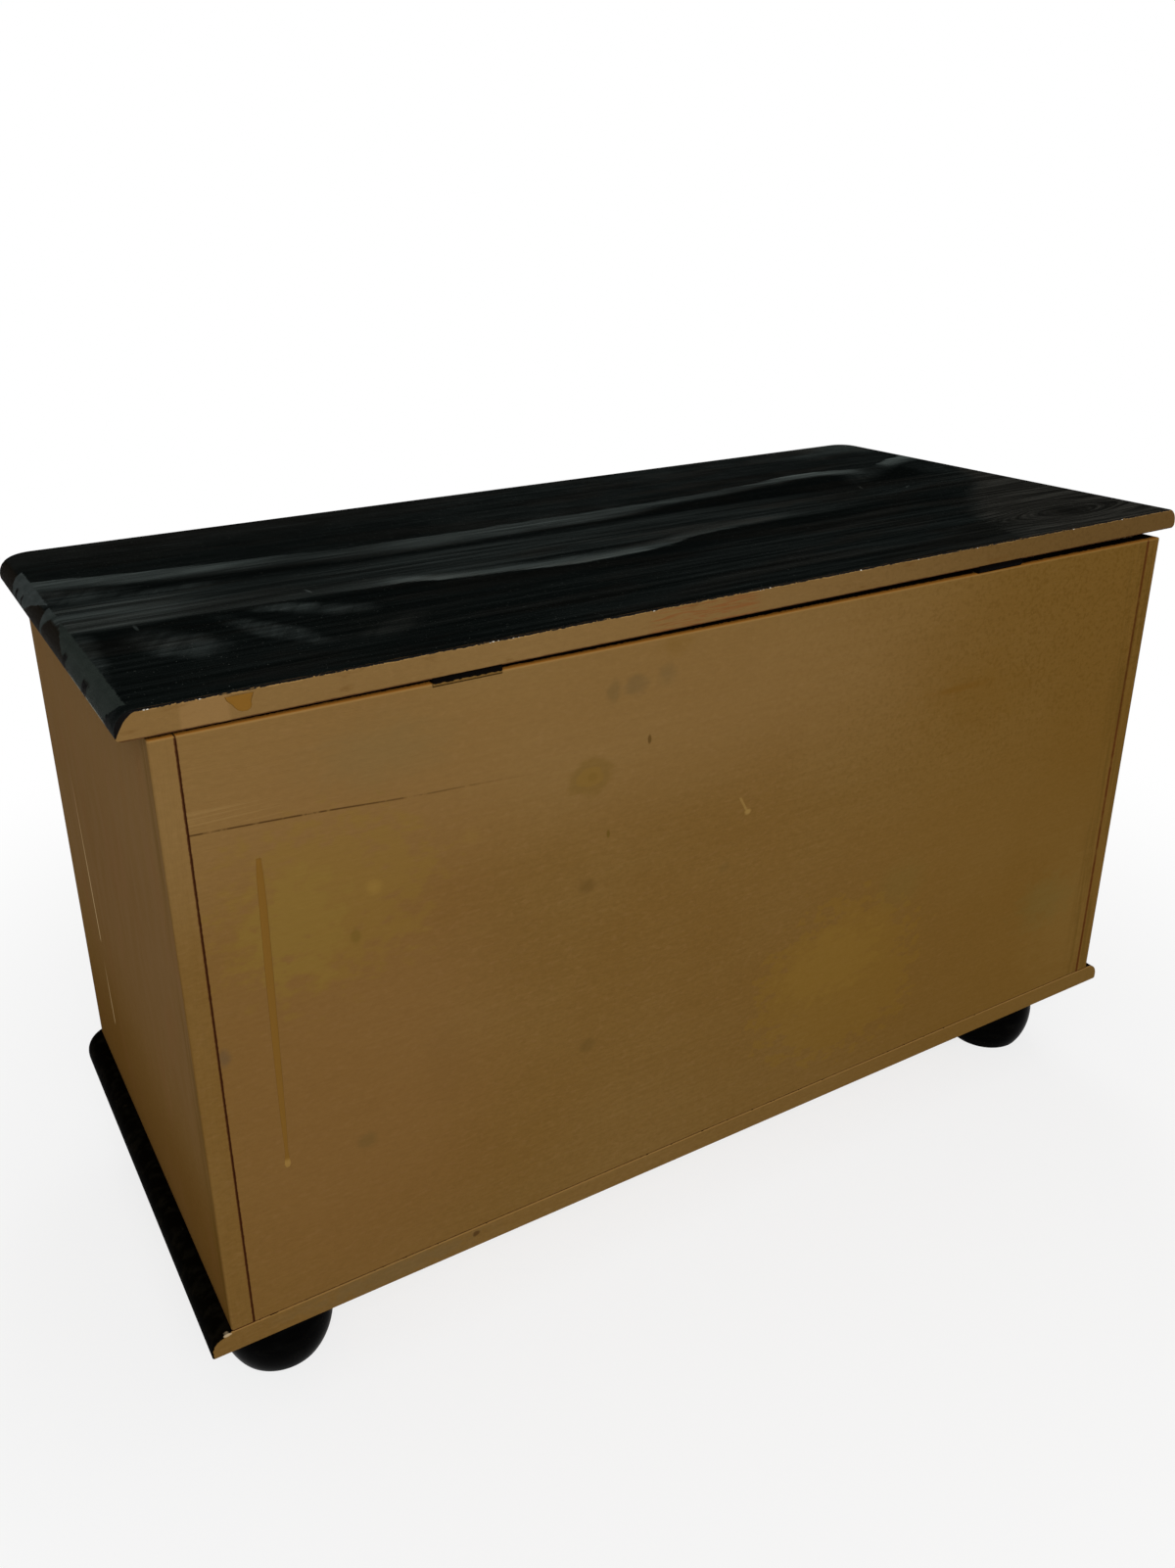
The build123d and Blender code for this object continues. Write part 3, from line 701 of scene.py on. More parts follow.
def makeLidPaint(name):
    # black satin paint with painted sheen, smudged and scuffed along the grain; gold on the back edge, bare
    # pine underneath
    material, shader, place = newMaterial(name)
    lid = lidSet
    grain = (150.0, 3.0, 3.0)
    split = node("ShaderNodeSeparateXYZ", place).node.outputs
    sheenAndSmudges, brown, brownBlack, fine = lidSheenAndSmudges(place, split)
    # the black lightened by the painted sheen and the smudges
    tint = node("mix", brown, lid["sheenAndSmudges"], lid["brownSheenAndSmudges"])
    black = node("mix", brownBlack, lid["black"], lid["brownBlack"])
    black = node("mix", sheenAndSmudges, black, tint)
    # dusty specks
    dust = streaks(place, (1.3, 1.3, 1.3), 1.0, 17.0)
    black = node("mix", node("ease", dust, 0.74, 0.80, 0.0, 0.35), black, "#8A9088")
    height = aboveFace(place, lidTop)
    black = paintRim(place, split, height, black)
    # the back edge: gold below a ragged black border, and black lapped round the right end
    rag = node("SUBTRACT", streaks(place, (10, 10, 10), 6.0, 23.0), 0.5)
    rag = node("MULTIPLY", rag, 3.4 * mm)
    gold = goldPaint(place, split, grain)
    gold = goldEdgeMarks(place, split, gold)
    below = node("ADD", height, rag)
    bright = node("ease", below, -2.0 * mm, -1.4 * mm)
    gold = node("mix", allOf(bright, 0.35), gold, "#B8935C")
    inward = insideRounding(split[0], height, lidEnd, lid["rounding"] * mm)
    end = lidEnd / mm
    past = offLine(height, split[0], [(low, end - inside) for low, inside in lid["lap"]])
    lapped = anyOf(node("ease", node("ADD", past, allOf(rag, 0.8)), 0.0, 0.4 * mm),
                   node("ease", inward, 0.5 * mm, 0.2 * mm))
    border = anyOf(node("ease", below, -1.2 * mm, -0.9 * mm), lapped)
    gold = node("mix", border, gold, "#0B0908")
    lowEdge = node("ease", node("ADD", height, allOf(rag, 0.4)), -17.0 * mm, -17.7 * mm)
    gold = node("mix", allOf(lowEdge, 0.8), gold, "#3A1A0C")
    behind = aboveFace(place, lidBack)
    onBack = node("ease", behind, -0.25 * mm, -0.12 * mm)
    lap = node("ADD", behind, node("MULTIPLY", rag, 0.6))
    onTop = allOf(node("ease", lap, -0.5 * mm, -0.25 * mm), node("ease", height, -1.0 * mm, -0.3 * mm))
    black = node("mix", allOf(onTop, 0.8), black, "#5A4423")
    colour = node("mix", onBack, black, gold)
    # underneath: black where it overhangs, bare pine inside
    under = node("ease", height, -17.2 * mm, -17.6 * mm)
    overhang = node("MAXIMUM", node("SUBTRACT", apart(split[0], 0.0), innerX - 6 * mm),
                    node("SUBTRACT", apart(split[1], middleY), innerY - middleY - 6 * mm))
    overhang = node("ADD", overhang, allOf(rag, 3.0))
    bare = allOf(under, node("ease", overhang, 1.0 * mm, -1.0 * mm))
    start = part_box("lid_board_1")[0].y
    board = (1, start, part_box("lid_board_2")[0].y - start)
    colour = node("mix", bare, colour, pineColour(place, 0, board))
    golden = allOf(onBack, node("SUBTRACT", 1.0, border))
    rounded = node("ease", height, -1.0 * mm, -4.0 * mm)
    dull = anyOf(golden, bare, sheenAndSmudges, rounded)
    ridges = node("bump", fine, 0.12 * mm)
    ridges = node("bump", streaks(place, (30, 1.6, 1.6), 3.0, 6.0), 0.08 * mm, ridges)
    setInputs(shader, {"Base Color": colour, "Metallic": allOf(golden, goldSet["metallic"]),
                       "Roughness": node("ease", dull, 0.0, 1.0, lid["roughness"], 0.75),
                       "Specular IOR Level": lid["specular"], "Normal": ridges})
    return material


def goldEdgeMarks(place, split, gold):
    # the lid's back edge: dimmer to the left, a lap mark, a reddish stretch of grain, and small stains
    gold = node("mix", node("ease", split[0], 0.15, -0.46, 0.0, 0.5), gold, "#513C22")
    lapped = allOf(span(split[0], 402, 428, 3), 0.5)
    gold = node("mix", lapped, gold, "#8C6C42")
    figure = node("ease", streaks(place, (45, 3, 2.6), 4.0, 41.0, 1.5), 0.48, 0.62)
    gold = node("mix", allOf(span(split[0], 15, 95, 12), figure, 0.55), gold, "#7A4420")
    stains = node("ease", streaks(place, (26, 9, 7), 4.0, 51.0), 0.60, 0.75)
    return node("mix", allOf(stains, 0.45), gold, "#62431C")


# Black paint of the base

def makeBasePaint(name):
    # black paint rubbed to greenish brown in places, gold on the back edge, bare pine inside the chest
    material, shader, place = newMaterial(name)
    split = node("ShaderNodeSeparateXYZ", place).node.outputs
    mottle = node("ease", streaks(place, (12, 9, 8), 6.0, 61.0), 0.46, 0.68)
    black = node("mix", allOf(mottle, 0.5), "#040301", "#14110A")
    worn = node("ease", streaks(place, (5, 9, 5), 4.0, 63.0), 0.66, 0.74)
    black = node("mix", allOf(worn, 0.25), black, "#2C2415")
    rag = node("SUBTRACT", streaks(place, (6, 6, 6), 5.0, 65.0), 0.5)
    gold = goldPaint(place, split, (150.0, 3.0, 3.0))
    mark = spot(place, (330, 0, 95), (55, endless, 7), 0.8, 0.4, mottle)
    gold = node("mix", allOf(mark, 0.25), gold, "#645A42")
    mark = spot(place, (257, 0, 97), (2.5, endless, 2), 0.4, 0.3, mottle)
    gold = node("mix", allOf(mark, 0.8), gold, "#4A3218")
    topLine = node("SUBTRACT", baseTop, split[2])
    # painted highlight: a pale line along the top arris of the back edge near the right end
    pale = allOf(node("ease", topLine, 1.6 * mm, 0.9 * mm), node("ease", split[0], 0.49, 0.44), 0.5)
    gold = node("mix", pale, gold, goldSet["arris"])
    lapped = node("ADD", split[1], allOf(rag, 1.6 * mm))
    onBack = node("ease", lapped, backY - 0.7 * mm, backY - 0.4 * mm)
    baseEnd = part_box("base_board_5")[1].x
    height = node("SUBTRACT", split[2], baseTop)
    inward = insideRounding(split[0], height, baseEnd, lidSet["rounding"] * mm)
    lapWidth = node("ease", split[0], baseEnd - 19 * mm, baseEnd - 10 * mm, -1 * mm, 1.4 * mm)
    lapWidth = node("ADD", lapWidth, allOf(rag, 6 * mm))
    onBack = allOf(onBack, node("ease", node("SUBTRACT", inward, lapWidth), 0.0, 0.4 * mm))
    colour = node("mix", onBack, black, gold)
    chip = ((baseEnd - 12.5 * mm) / mm, 0, (baseTop - 1.5 * mm) / mm)
    bare = spot(place, chip, (1.9, endless, 0.9), 0.3, 0.6, mottle)
    bare = allOf(bare, node("ease", split[1], backY - 3 * mm, backY - 2 * mm))
    colour = node("mix", allOf(bare, 0.8), colour, "#B9A483")
    halfDepth = backY - middleY
    inside = allOf(node("ease", split[2], baseTop - 0.4 * mm, baseTop - 0.2 * mm),
                   node("ease", apart(split[0], 0.0), endX - 2 * mm, endX - 4 * mm),
                   node("ease", apart(split[1], middleY), halfDepth - 2 * mm, halfDepth - 4 * mm))
    under = node("ease", split[2], baseTop - 17.0 * mm, baseTop - 17.6 * mm)
    rim = node("MAXIMUM", node("SUBTRACT", apart(split[0], 0.0), endX - 20 * mm),
               node("SUBTRACT", apart(split[1], middleY), halfDepth - 20 * mm))
    under = allOf(under, node("ease", node("ADD", rim, allOf(rag, 20 * mm)), 1 * mm, -1 * mm))
    bare = anyOf(inside, under)
    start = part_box("base_board_1")[0].y
    board = (1, start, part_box("base_board_2")[0].y - start)
    colour = node("mix", bare, colour, pineColour(place, 0, board))
    setInputs(shader, {"Base Color": colour, "Metallic": allOf(onBack, goldSet["metallic"]),
                       "Roughness": node("ease", anyOf(onBack, bare), 0.0, 1.0, 0.7, 0.66),
                       "Specular IOR Level": 0.005,
                       "Normal": node("bump", streaks(place, (60, 4, 4), 4.0, 5.0), 0.2 * mm)})
    return material


def makeFootPaint(name):
    # black gloss enamel on a turned foot: a clear highlight over faint turning lines
    material, shader, place = newMaterial(name)
    dust = node("ease", streaks(place, (26, 26, 9), 5.0, 71.0), 0.45, 0.75)
    lines = node("bump", streaks(place, (60, 60, 1.8), 2.0, 73.0), 0.05 * mm)
    setInputs(shader, {"Base Color": node("mix", dust, "#020202", "#070706"),
                       "Roughness": node("ease", dust, 0.0, 1.0, 0.20, 0.32),
                       "Specular IOR Level": 0.006, "Normal": lines})
    return material


def makeHingeSteel(name):
    # plain steel leaves, browned, with black paint over the knuckles
    material, shader, place = newMaterial(name)
    split = node("ShaderNodeSeparateXYZ", place).node.outputs
    rust = node("ease", streaks(place, (5, 5, 5), 5.0, 81.0), 0.40, 0.65)
    colour = node("mix", rust, "#8B8376", "#4A3524")
    edge = node("ADD", split[1], allOf(rust, 2.5 * mm))
    painted = node("ease", edge, backY - 5.5 * mm, backY - 4.0 * mm)
    colour = node("mix", painted, colour, "#070504")
    # gold brushed over what lies below the panel's top edge
    low = node("ADD", split[2], allOf(rust, 0.8 * mm))
    golden = allOf(painted, node("ease", low, wallTop + 0.2 * mm, wallTop - 0.4 * mm))
    colour = node("mix", golden, colour, goldSet["tone"])
    bare = node("SUBTRACT", 1.0, painted)
    roughness = node("ease", bare, 0.0, 1.0, 0.75, 0.42)
    setInputs(shader, {"Base Color": colour, "Metallic": bare, "Roughness": roughness,
                       "Specular IOR Level": 0.02, "Normal": node("bump", rust, 0.05 * mm)})
    return material


def makeZinc(name):
    # bright zinc plating, slightly clouded
    material, shader, place = newMaterial(name)
    cloud = node("ease", streaks(place, (3, 3, 3), 4.0, 91.0), 0.35, 0.65)
    setInputs(shader, {"Base Color": node("mix", cloud, "#B9BAB6", "#8E8F8C"), "Metallic": 1.0,
                       "Roughness": node("ease", cloud, 0.0, 1.0, 0.26, 0.42)})
    return material


goldBack = makeGold("gold_paint_on_back_panel", 0, backPanelMarks)
goldFront = makeGold("gold_paint_on_front_panel", 0)
goldRight = makeGold("gold_paint_on_right_end", 2, endPanelMarks)
goldLeft = makeGold("gold_paint_on_left_end", 2)
lidPaint = makeLidPaint("black_paint_on_lid")
basePaint = makeBasePaint("black_paint_on_base")
footPaint = makeFootPaint("black_enamel_on_feet")
pineAlongY = makePine("bare_pine_batten", 1)
pineUpright = makePine("bare_pine_block", 2)
hingeSteel = makeHingeSteel("browned_hinge_steel")
zinc = makeZinc("zinc_plated_steel")

finishes = {
    "back_board": goldBack,
    "front_board": goldFront,
    "left_end_board": goldLeft,
    "right_end_board": goldRight,
    "lid_board": lidPaint,
    "base_board": basePaint,
    "foot_b": footPaint,
    "foot_f": footPaint,
    "lid_batten_left": pineAlongY,
    "lid_batten_right": pineAlongY,
    "corner_block_front": pineUpright,
    "corner_block_back": pineUpright,
    "hinge_lid_leaf": hingeSteel,
    "hinge_body_leaf": hingeSteel,
    "hinge_pin": hingeSteel,
    "foot_bolts": zinc,
    "foot_t_nuts": zinc,
}
for name, solid in nodes.items():
    # the last start that fits, so that foot_bolts isn't taken for foot_b
    finish = next((finishes[start] for start in reversed(finishes) if name.startswith(start)), zinc)
    if not solid.material_slots:
        solid.data.materials.append(finish)
    for slot in solid.material_slots:
        slot.material = finish
print("finishes on", len(nodes), "nodes")


# Pieces that are added to the frame

def addMesh(name, build):
    mesh = bpy.data.meshes.new(name)
    shape = bmesh.new()
    build(shape)
    shape.to_mesh(mesh)
    shape.free()
    piece = bpy.data.objects.new(name, mesh)
    scene.collection.objects.link(piece)
    return piece


def dress(piece, body, finish=None):
    if finish:
        piece.data.materials.clear()
        piece.data.materials.append(finish)
    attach(piece, body)


# Paint that ran: a raised run with a bead on the back panel, and a drip on the lid's back edge
runSet = {
    # stations: x, z, half width in mm
    "run": [(393.6, 464, 1.6), (393.8, 452, 2.3), (394, 430, 2.6), (395, 380, 2.7), (396, 320, 2.4),
            (396.8, 262, 1.8), (397, 238, 1.2), (397.2, 231, 2.0), (397.2, 228, 2.3), (397.2, 225.5, 1.2)],
    "drip": [(394, 572.2, 8.8), (394.0, 569.4, 7.6), (393.0, 566.8, 5.8), (392.2, 564.6, 5.2),
             (391.8, 562.8, 4.0), (391.6, 561.6, 1.9)],
    "runProud": 0.12,  # share of the half width
    "dripProud": 0.07,
    "sunk": 0.15,  # mm under the paint
    "across": 8,  # steps across
    "between": 4,  # steps from one station to the next
}


def buildRun(shape, stations, proud, faceY):
    # rows of points across the run, on a half oval, one row for each station, closed underneath
    rows = []
    steps = runSet["across"]
    for x, z, half in stations:
        row = []
        for i in range(steps + 1):
            angle = pi * i / steps
            out = sin(angle) * half * proud * mm
            row.append(shape.verts.new((x * mm + cos(angle) * half * mm, faceY(z * mm) + out, z * mm)))
        row.append(shape.verts.new((x * mm, faceY(z * mm) - runSet["sunk"] * mm, z * mm)))
        rows.append(row)
    count = len(rows[0])
    for first, second in zip(rows, rows[1:]):
        for i in range(count):
            j = (i + 1) % count
            shape.faces.new((first[i], first[j], second[j], second[i]))
    shape.faces.new(rows[0])
    shape.faces.new(list(reversed(rows[-1])))
    bmesh.ops.recalc_face_normals(shape, faces=shape.faces)


def smoothed(stations):
    # short steps between each two stations
    result = []
    for first, second in zip(stations, stations[1:]):
        for i in range(runSet["between"]):
            t = i / runSet["between"]
            result.append(tuple(a + (b - a) * t for a, b in zip(first, second)))
    return result + [stations[-1]]


def lidBackAt(z):
    normal, point = lidBack
    return point.y - (z - point.z) * normal.z / normal.y


def makeRunPaint():
    # gold paint that ran: thicker, more olive and a little glossier, with a painted highlight that lightens
    # its bead
    material, shader, place = newMaterial("gold_paint_run")
    split = node("ShaderNodeSeparateXYZ", place).node.outputs
    # painted highlight: the bead is lighter
    beadHighlight = node("ease", split[2], 0.234, 0.230)
    onLid = node("ease", split[2], 0.55, 0.56)
    colour = node("mix", allOf(beadHighlight, 0.6), "#6F4F1E", "#94753E")
    colour = node("mix", onLid, colour, "#77531E")
    setInputs(shader, {"Base Color": colour, "Roughness": 0.5, "Specular IOR Level": 0.02})
    return material


runPaint = makeRunPaint()
paintRun = addMesh("paint_run_back", lambda shape: buildRun(
    shape, smoothed(runSet["run"]), runSet["runProud"], lambda z: backY))
dress(paintRun, "carcass", runPaint)
paintDrip = addMesh("paint_drip_lid", lambda shape: buildRun(
    shape, smoothed(runSet["drip"]), runSet["dripProud"], lidBackAt))
dress(paintDrip, "lid", runPaint)
for piece in (paintRun, paintDrip):
    piece.data.polygons.foreach_set("use_smooth", [True] * len(piece.data.polygons))
print("paint runs made")


# Geometry Nodes

def newTree(name, inputs):
    # a node group with a geometry input and output and the named inputs given
    tree = bpy.data.node_groups.new(name, "GeometryNodeTree")
    tree.interface.new_socket("Geometry", in_out="INPUT", socket_type="NodeSocketGeometry")
    tree.interface.new_socket("Geometry", in_out="OUTPUT", socket_type="NodeSocketGeometry")
    for label, kind in inputs.items():
        tree.interface.new_socket(label, in_out="INPUT", socket_type=kind)
    return tree, node("NodeGroupInput", tree=tree).node.outputs


def grow(name, base, tree, values):
    # runs a tree on a base mesh and returns a new plain mesh object
    modifier = base.modifiers.new(name, "NODES")
    modifier.node_group = tree
    for item in tree.interface.items_tree:
        if item.in_out == "INPUT" and item.name in values:
            modifier[item.identifier] = values[item.name]
    seen = bpy.context.evaluated_depsgraph_get()
    mesh = bpy.data.meshes.new_from_object(base.evaluated_get(seen))
    mesh.name = name
    base.modifiers.remove(modifier)
    bpy.data.objects.remove(base)
    piece = bpy.data.objects.new(name, mesh)
    scene.collection.objects.link(piece)
    return piece


def scatterTree():
    # flakes of paint along a line: each turned, scaled and moved a little by its own chance
    kinds = {"Count": "NodeSocketInt", "Start": "NodeSocketVector", "End": "NodeSocketVector",
             "Spread": "NodeSocketVector", "Smallest": "NodeSocketVector", "Largest": "NodeSocketVector",
             "Sides": "NodeSocketInt", "Seed": "NodeSocketInt", "Finish": "NodeSocketMaterial"}
    tree, given = newTree("paintFlakes", kinds)
    ends = {"Count": given["Count"], "Start Location": given["Start"], "Offset": given["End"]}
    line = node("GeometryNodeMeshLine", ends, mode="END_POINTS")
    inward = node("ShaderNodeVectorMath", {0: given["Spread"], "Scale": -1.0}, operation="SCALE")
    limits = {0: inward, 1: given["Spread"], "Seed": given["Seed"]}
    stray = node("FunctionNodeRandomValue", limits, data_type="FLOAT_VECTOR")
    moved = node("GeometryNodeSetPosition", {"Geometry": line, "Offset": stray})
    disc = {"Vertices": given["Sides"], "Radius": 0.5, "Depth": 1.0}
    flake = node("GeometryNodeMeshCylinder", disc, output="Mesh", fill_type="NGON")
    limits = {0: given["Smallest"], 1: given["Largest"], "Seed": 3}
    size = node("FunctionNodeRandomValue", limits, data_type="FLOAT_VECTOR")
    limits = {0: (pi / 2, -0.1, -0.04), 1: (pi / 2, 0.1, 0.04), "Seed": 5}  # upright, a little askew
    turn = node("FunctionNodeRandomValue", limits, tree=tree, data_type="FLOAT_VECTOR")
    copies = {"Points": moved, "Instance": flake, "Rotation": turn, "Scale": size}
    placed = node("GeometryNodeInstanceOnPoints", copies)
    real = node("GeometryNodeRealizeInstances", placed)
    done = node("GeometryNodeSetMaterial", {"Geometry": real, "Material": given["Finish"]})
    node("NodeGroupOutput", done)
    return tree


def makeFlakePaint(name, colour, roughness):
    material, shader, place = newMaterial(name)
    tone = node("ease", streaks(place, (2, 2, 2), 3.0, 95.0), 0.35, 0.65)
    darker = [c * 0.6 for c in hexColour(colour)[:3]] + [1.0]
    setInputs(shader, {"Base Color": node("mix", tone, darker, colour), "Roughness": roughness,
                       "Specular IOR Level": 0.15})
    return material


flakeSet = {
    "count": 560,
    "drop": 1.0,  # mm, middle of the border below the top arris
    "spread": (1.0, 0.0, 0.25),  # mm either way along x, y and z
    "smallest": (1.2, 0.4, 0.10),  # mm: long, high, thick
    "largest": (4.2, 0.9, 0.24),
    # x of the pale chips in mm
    "chips": [449, 447, 417, 228, 226, 222, 211, 207, 100, 7, 4, -2, -90, -150, -215, -330, -392],
}


def alongLidTop(x, drop):
    # a point on the lid's back face, a drop below its top arris, in metres
    normal, point = lidTop
    z = 0.0
    for step in range(3):
        y = lidBackAt(z)
        z = point.z - ((x - point.x) * normal.x + (y - point.y) * normal.y) / normal.z - drop
    return Vector((x, lidBackAt(z), z))


flakes = scatterTree()
borderBlack = makeFlakePaint("black_paint_flakes", "#0C0A09", 0.45)
chalk = makeFlakePaint("pale_filler_chips", "#C9C2B4", 0.7)
border = grow("paint_border_flakes", addMesh("border_base", lambda shape: None), flakes, {
    "Count": flakeSet["count"],
    "Start": alongLidTop(lidEnd - 11 * mm, flakeSet["drop"] * mm),
    "End": alongLidTop(11 * mm - lidEnd, flakeSet["drop"] * mm),
    "Spread": [s * mm for s in flakeSet["spread"]],
    "Smallest": [s * mm for s in flakeSet["smallest"]],
    "Largest": [s * mm for s in flakeSet["largest"]],
    "Sides": 7,
    "Seed": 11,
    "Finish": borderBlack,
})
dress(border, "lid")


def buildChips(shape):
    # tiny irregular pale chips on the border
    chance = Random(5)
    for x in flakeSet["chips"]:
        centre = alongLidTop(x * mm, chance.uniform(1.0, 1.5) * mm)
        count = 6
        radius = chance.uniform(0.4, 0.85) * mm
        turn = chance.uniform(0, pi)
        rim, lifted = [], []
        for i in range(count):
            angle = turn + 2 * pi * i / count
            reach = radius * chance.uniform(0.6, 1.2)
            step = Vector((cos(angle) * reach * 1.4, 0, sin(angle) * reach * 0.7))
            rim.append(shape.verts.new(centre + step - Vector((0, 0.1 * mm, 0))))
            lifted.append(shape.verts.new(centre + step * 0.7 + Vector((0, 0.3 * mm, 0))))
        for i in range(count):
            j = (i + 1) % count
            shape.faces.new((rim[i], rim[j], lifted[j], lifted[i]))
        shape.faces.new(lifted)
        shape.faces.new(list(reversed(rim)))
    bmesh.ops.recalc_face_normals(shape, faces=shape.faces)


chips = addMesh("paint_chips_lid", buildChips)
dress(chips, "lid", chalk)
print("flakes and chips made")


# Screws: countersunk, with a cross recess and a thread, in place of the plain solids

screwSet = {
    "crossReach": 0.58,  # of the head's radius
    "crossHalf": 0.14,
    "crossDepth": 0.5,
    "crossFloor": 0.55,  # the cross at its floor over the cross at its mouth
    "neckShare": 0.9,  # of the shank's radius
    "crestShare": 0.98,
    "coreShare": 0.70,
    "ridgeSlope": 3.2,
    "tipLength": 2.2,
    "threadFrom": 0.40,  # of the length, from the head
    "pitchShare": 0.55,  # of the diameter
    "around": 12,
}


def buildScrew(shape, length, radius, headRadius):
    # head face at z = 0, point downwards
    wanted = screwSet
    around = wanted["around"]
    headLow = headRadius - radius

    def ring(z, reach):
        angles = [2 * pi * i / around for i in range(around)]
        return [shape.verts.new((reach(a) * cos(a), reach(a) * sin(a), z)) for a in angles]

    def skin(upper, lower):
        for i in range(len(upper)):
            j = (i + 1) % len(upper)
            shape.faces.new((upper[i], lower[i], lower[j], upper[j]))

    rim = ring(0, lambda a: headRadius)
    long, half = headRadius * wanted["crossReach"], headRadius * wanted["crossHalf"]
    corners = [(long, -half), (long, half), (half, half), (half, long), (-half, long), (-half, half),
               (-long, half), (-long, -half), (-half, -half), (-half, -long), (half, -long), (half, -half)]
    depth = headRadius * wanted["crossDepth"]
    mouth = [shape.verts.new((x, y, 0)) for x, y in corners]
    taper = wanted["crossFloor"]
    pit = [shape.verts.new((x * taper, y * taper, -depth)) for x, y in corners]
    for i in range(12):
        j = (i + 1) % 12
        shape.faces.new((mouth[j], mouth[i], pit[i], pit[j]))
        # the rim starts at angle 0, the cross at a corner just before it
        shape.faces.new((mouth[i], mouth[j], rim[j], rim[i]))
    shape.faces.new(pit)
    crest = wanted["crestShare"]
    neck = ring(-headLow, lambda a: radius * crest)
    skin(rim, neck)
    start = length * wanted["threadFrom"]
    last = ring(-start, lambda a: radius * wanted["neckShare"])
    skin(neck, last)
    pitch = 2 * radius * wanted["pitchShare"]
    tip = length - wanted["tipLength"] * radius
    turns = max(2, round((tip - start) / pitch))
    steps = turns * 4
    for k in range(1, steps + 1):
        z = start + (tip - start) * k / steps

        def reach(angle, z=z):
            phase = (z - start) / pitch - angle / (2 * pi)
            ridge = max(0.0, 1 - wanted["ridgeSlope"] * abs((phase % 1) - 0.5))
            return radius * (wanted["coreShare"] + (crest - wanted["coreShare"]) * ridge)

        lower = ring(-z, reach)
        skin(last, lower)
        last = lower
    point = shape.verts.new((0, 0, -length))
    for i in range(around):
        shape.faces.new((last[i], point, last[(i + 1) % around]))
    bmesh.ops.recalc_face_normals(shape, faces=shape.faces)


def solidsOf(piece):
    # the points of each separate solid in a piece, in the order of its vertices
    shape = bmesh.new()
    shape.from_mesh(piece.data)
    bmesh.ops.remove_doubles(shape, verts=shape.verts, dist=1e-6)
    known, solids = set(), []
    for start in shape.verts:
        if start in known:
            continue
        known.add(start)
        queue, found = [start], []
        while queue:
            vert = queue.pop()
            found.append(vert.co.copy())
            for edge in vert.link_edges:
                other = edge.other_vert(vert)
                if other not in known:
                    known.add(other)
                    queue.append(other)
        solids.append(np.array(found))
    shape.free()
    return solids


def screwPlace(points):
    # middle of the head's face, direction from point to head, length, and the radii of shank and head
    margin = 0.05 * mm  # what counts as one end
    middle = points.mean(axis=0)
    axis = np.linalg.svd(points - middle)[2][0]
    along = (points - middle) @ axis
    away = np.linalg.norm(points - middle - np.outer(along, axis), axis=1)
    if away[along > along.max() - margin].max() < away[along < along.min() + margin].max():
        axis, along = -axis, -along
    head = points[along > along.max() - margin].mean(axis=0)
    tip = points[along < along.min() + margin].mean(axis=0)
    length = np.linalg.norm(head - tip)
    rim = away.max()
    shank = away[(away > 0.1 * rim) & (away < 0.9 * rim)].max()
    return head, (head - tip) / length, length, shank, rim


def screwTree():
    # one screw on each point, its head towards the point's own direction, turned by chance
    kinds = {"Screw": "NodeSocketObject", "Seed": "NodeSocketInt", "Finish": "NodeSocketMaterial"}
    tree, given = newTree("drivenScrews", kinds)
    model = node("GeometryNodeObjectInfo", {"Object": given["Screw"]}, output="Geometry")
    facing = node("GeometryNodeInputNamedAttribute", {"Name": "facing"}, tree=tree,
                  data_type="FLOAT_VECTOR")
    aimed = node("FunctionNodeAlignRotationToVector", {"Vector": facing}, axis="Z")
    limits = {2: 0.0, 3: 2 * pi, "Seed": given["Seed"]}
    chance = node("FunctionNodeRandomValue", limits, output=1, data_type="FLOAT")
    spin = node("FunctionNodeAxisAngleToRotation", {"Axis": (0, 0, 1), "Angle": chance})
    turned = node("FunctionNodeRotateRotation", aimed, spin, rotation_space="LOCAL")
    copies = {"Points": given["Geometry"], "Instance": model, "Rotation": turned}
    placed = node("GeometryNodeInstanceOnPoints", copies)
    real = node("GeometryNodeRealizeInstances", placed)
    done = node("GeometryNodeSetMaterial", {"Geometry": real, "Material": given["Finish"]})
    node("NodeGroupOutput", done)
    return tree


drivenScrews = screwTree()
screwRows = {
    "lid_batten_screws": ("batten_screws_fitted", "lid"),
    "hinge_lid_screws": ("hinge_lid_screws_fitted", "lid"),
    "hinge_body_screws": ("hinge_body_screws_fitted", "carcass"),
    "corner_block_screws": ("corner_block_screws_fitted", "carcass"),
    "base_screws": ("base_screws_fitted", "carcass"),
}
for nodeName, (pieceName, body) in screwRows.items():
    places = [screwPlace(points) for points in solidsOf(nodes[nodeName])]
    length, shank, headRadius = places[0][2:]
    model = addMesh("screw_model", lambda shape: buildScrew(shape, length, shank, headRadius))
    points = addMesh("screw_points", lambda shape: [shape.verts.new(place[0]) for place in places])
    facing = points.data.attributes.new("facing", "FLOAT_VECTOR", "POINT")
    facing.data.foreach_set("vector", np.array([place[1] for place in places]).ravel())
    piece = grow(pieceName, points, drivenScrews, {"Screw": model, "Seed": 7, "Finish": zinc})
    bpy.data.objects.remove(model)
    dress(piece, body)
    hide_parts(nodeName)
    print(pieceName, len(places), "screws,", len(piece.data.polygons), "faces")


# Studio: white floor, even light all round, a large soft lamp on the camera's side and a weak one
# opposite, and a dark dome that only reflections see
studioSet = {
    "worldLight": 0.52,
    "keyPlace": (0.85, 2.3, 1.9),
    "lampSize": (1.4, 1.1),
    "chestMiddle": (0, 0, 0.33),
    "keyPower": 42,
    "fillPlace": (-1.4, -2.2, 1.9),
    "fillPower": 16,
    "floorRadius": 3.2,
    "floorWhite": (0.82, 0.82, 0.82, 1),
    "canopyRadius": 4.0,
    "canopyLow": 0.5,  # degrees above the floor
    "canopyHigh": 86,
    "canopyTone": "#141616",
}


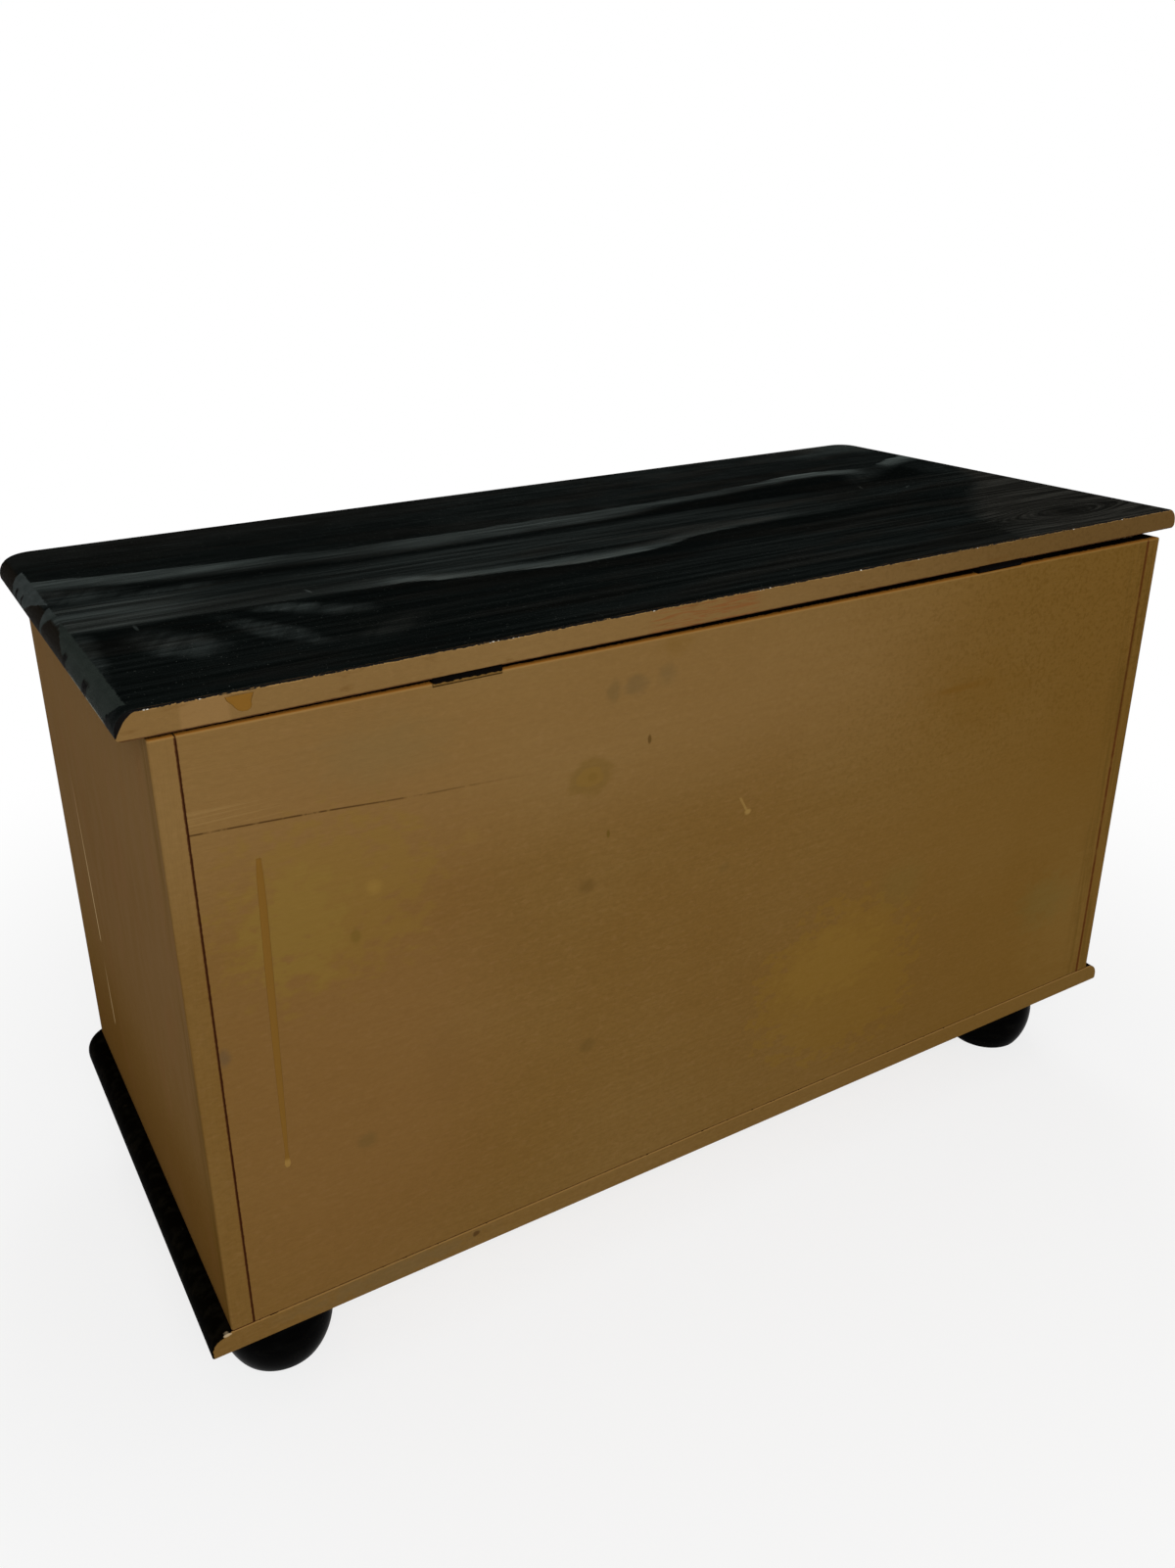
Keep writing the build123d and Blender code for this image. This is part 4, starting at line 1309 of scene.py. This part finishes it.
def seenBy(tree):
    # 1 for the camera and for reflections, 0 for the light that falls on the object
    path = node("ShaderNodeLightPath", tree=tree).node.outputs
    return anyOf(path["Is Camera Ray"], path["Is Glossy Ray"], path["Is Transmission Ray"])


world = bpy.data.worlds.new("studio_light")
world.use_nodes = True
scene.world = world
worldTree = world.node_tree
worldTree.nodes.clear()
dim = node("ShaderNodeBackground", "#FFFFFF", studioSet["worldLight"], tree=worldTree)
white = node("ShaderNodeBackground", "#FFFFFF", 1.0, tree=worldTree)
seen = node("ShaderNodeMixShader", seenBy(worldTree), dim, white)
node("ShaderNodeOutputWorld", seen)


def addLamp(name, place, power):
    # a soft lamp that looks at the middle of the chest
    data = bpy.data.lights.new(name, "AREA")
    data.shape = "RECTANGLE"
    data.size, data.size_y = studioSet["lampSize"]
    data.energy = power
    lamp = bpy.data.objects.new(name, data)
    scene.collection.objects.link(lamp)
    lamp.location = place
    lamp.rotation_mode = "QUATERNION"
    aim = Vector(studioSet["chestMiddle"]) - Vector(place)
    lamp.rotation_quaternion = aim.to_track_quat("-Z", "Y")
    return lamp


addLamp("key_light", studioSet["keyPlace"], studioSet["keyPower"])
fill = addLamp("fill_light", studioSet["fillPlace"], studioSet["fillPower"])
fill.visible_glossy = False


def buildFloor(shape):
    bmesh.ops.create_circle(shape, cap_ends=True, segments=96, radius=studioSet["floorRadius"])


def buildCanopy(shape):
    # a ring of a sphere, open at the horizon and overhead
    radius = studioSet["canopyRadius"]
    lowest, highest = studioSet["canopyLow"], studioSet["canopyHigh"]
    steps, around = 12, 64
    rings = []
    for i in range(steps + 1):
        height = radians(lowest + (highest - lowest) * i / steps)
        turns = [2 * pi * j / around for j in range(around)]
        ring = [Vector((cos(height) * cos(a), cos(height) * sin(a), sin(height))) * radius for a in turns]
        rings.append([shape.verts.new(point) for point in ring])
    for low, high in zip(rings, rings[1:]):
        for j in range(around):
            k = (j + 1) % around
            shape.faces.new((low[j], high[j], high[k], low[k]))


def makeFloorWhite():
    # white floor that keeps the shadow and melts into the white behind it
    material, shader, place = newMaterial("white_studio_floor", "ShaderNodeMixShader")
    tree = material.node_tree
    lit = node("ShaderNodeBsdfDiffuse", {"Color": studioSet["floorWhite"]}, tree=tree)
    glow = node("ShaderNodeEmission", "#FFFFFF", 1.0, tree=tree)
    # reflections see the floor dark where the chest stands close over it
    clear = node("ShaderNodeAmbientOcclusion", {"Distance": 0.3}, tree=tree, output="AO", samples=8)
    direct = node("ShaderNodeLightPath", tree=tree, output="Is Camera Ray")
    near = node("ShaderNodeMixShader", allOf(anyOf(clear, direct), 0.75), lit, glow)
    away = node("ShaderNodeVectorMath", place, output="Value", operation="LENGTH")
    shown = node("ShaderNodeMixShader", node("ease", away, 0.5, 1.2), near, glow)
    setInputs(shader, {0: seenBy(tree), 1: lit, 2: shown})
    return material


def makeCanopyDark():
    material, shader, place = newMaterial("dark_canopy", "ShaderNodeEmission")
    setInputs(shader, {"Color": studioSet["canopyTone"], "Strength": 1.0})
    return material


floor = addMesh("studio_floor", buildFloor)
floor.data.materials.append(makeFloorWhite())
canopy = addMesh("dark_canopy", buildCanopy)
canopy.data.materials.append(makeCanopyDark())
for ray in ("camera", "diffuse", "shadow", "transmission"):
    setattr(canopy, "visible_" + ray, False)
print("studio set")
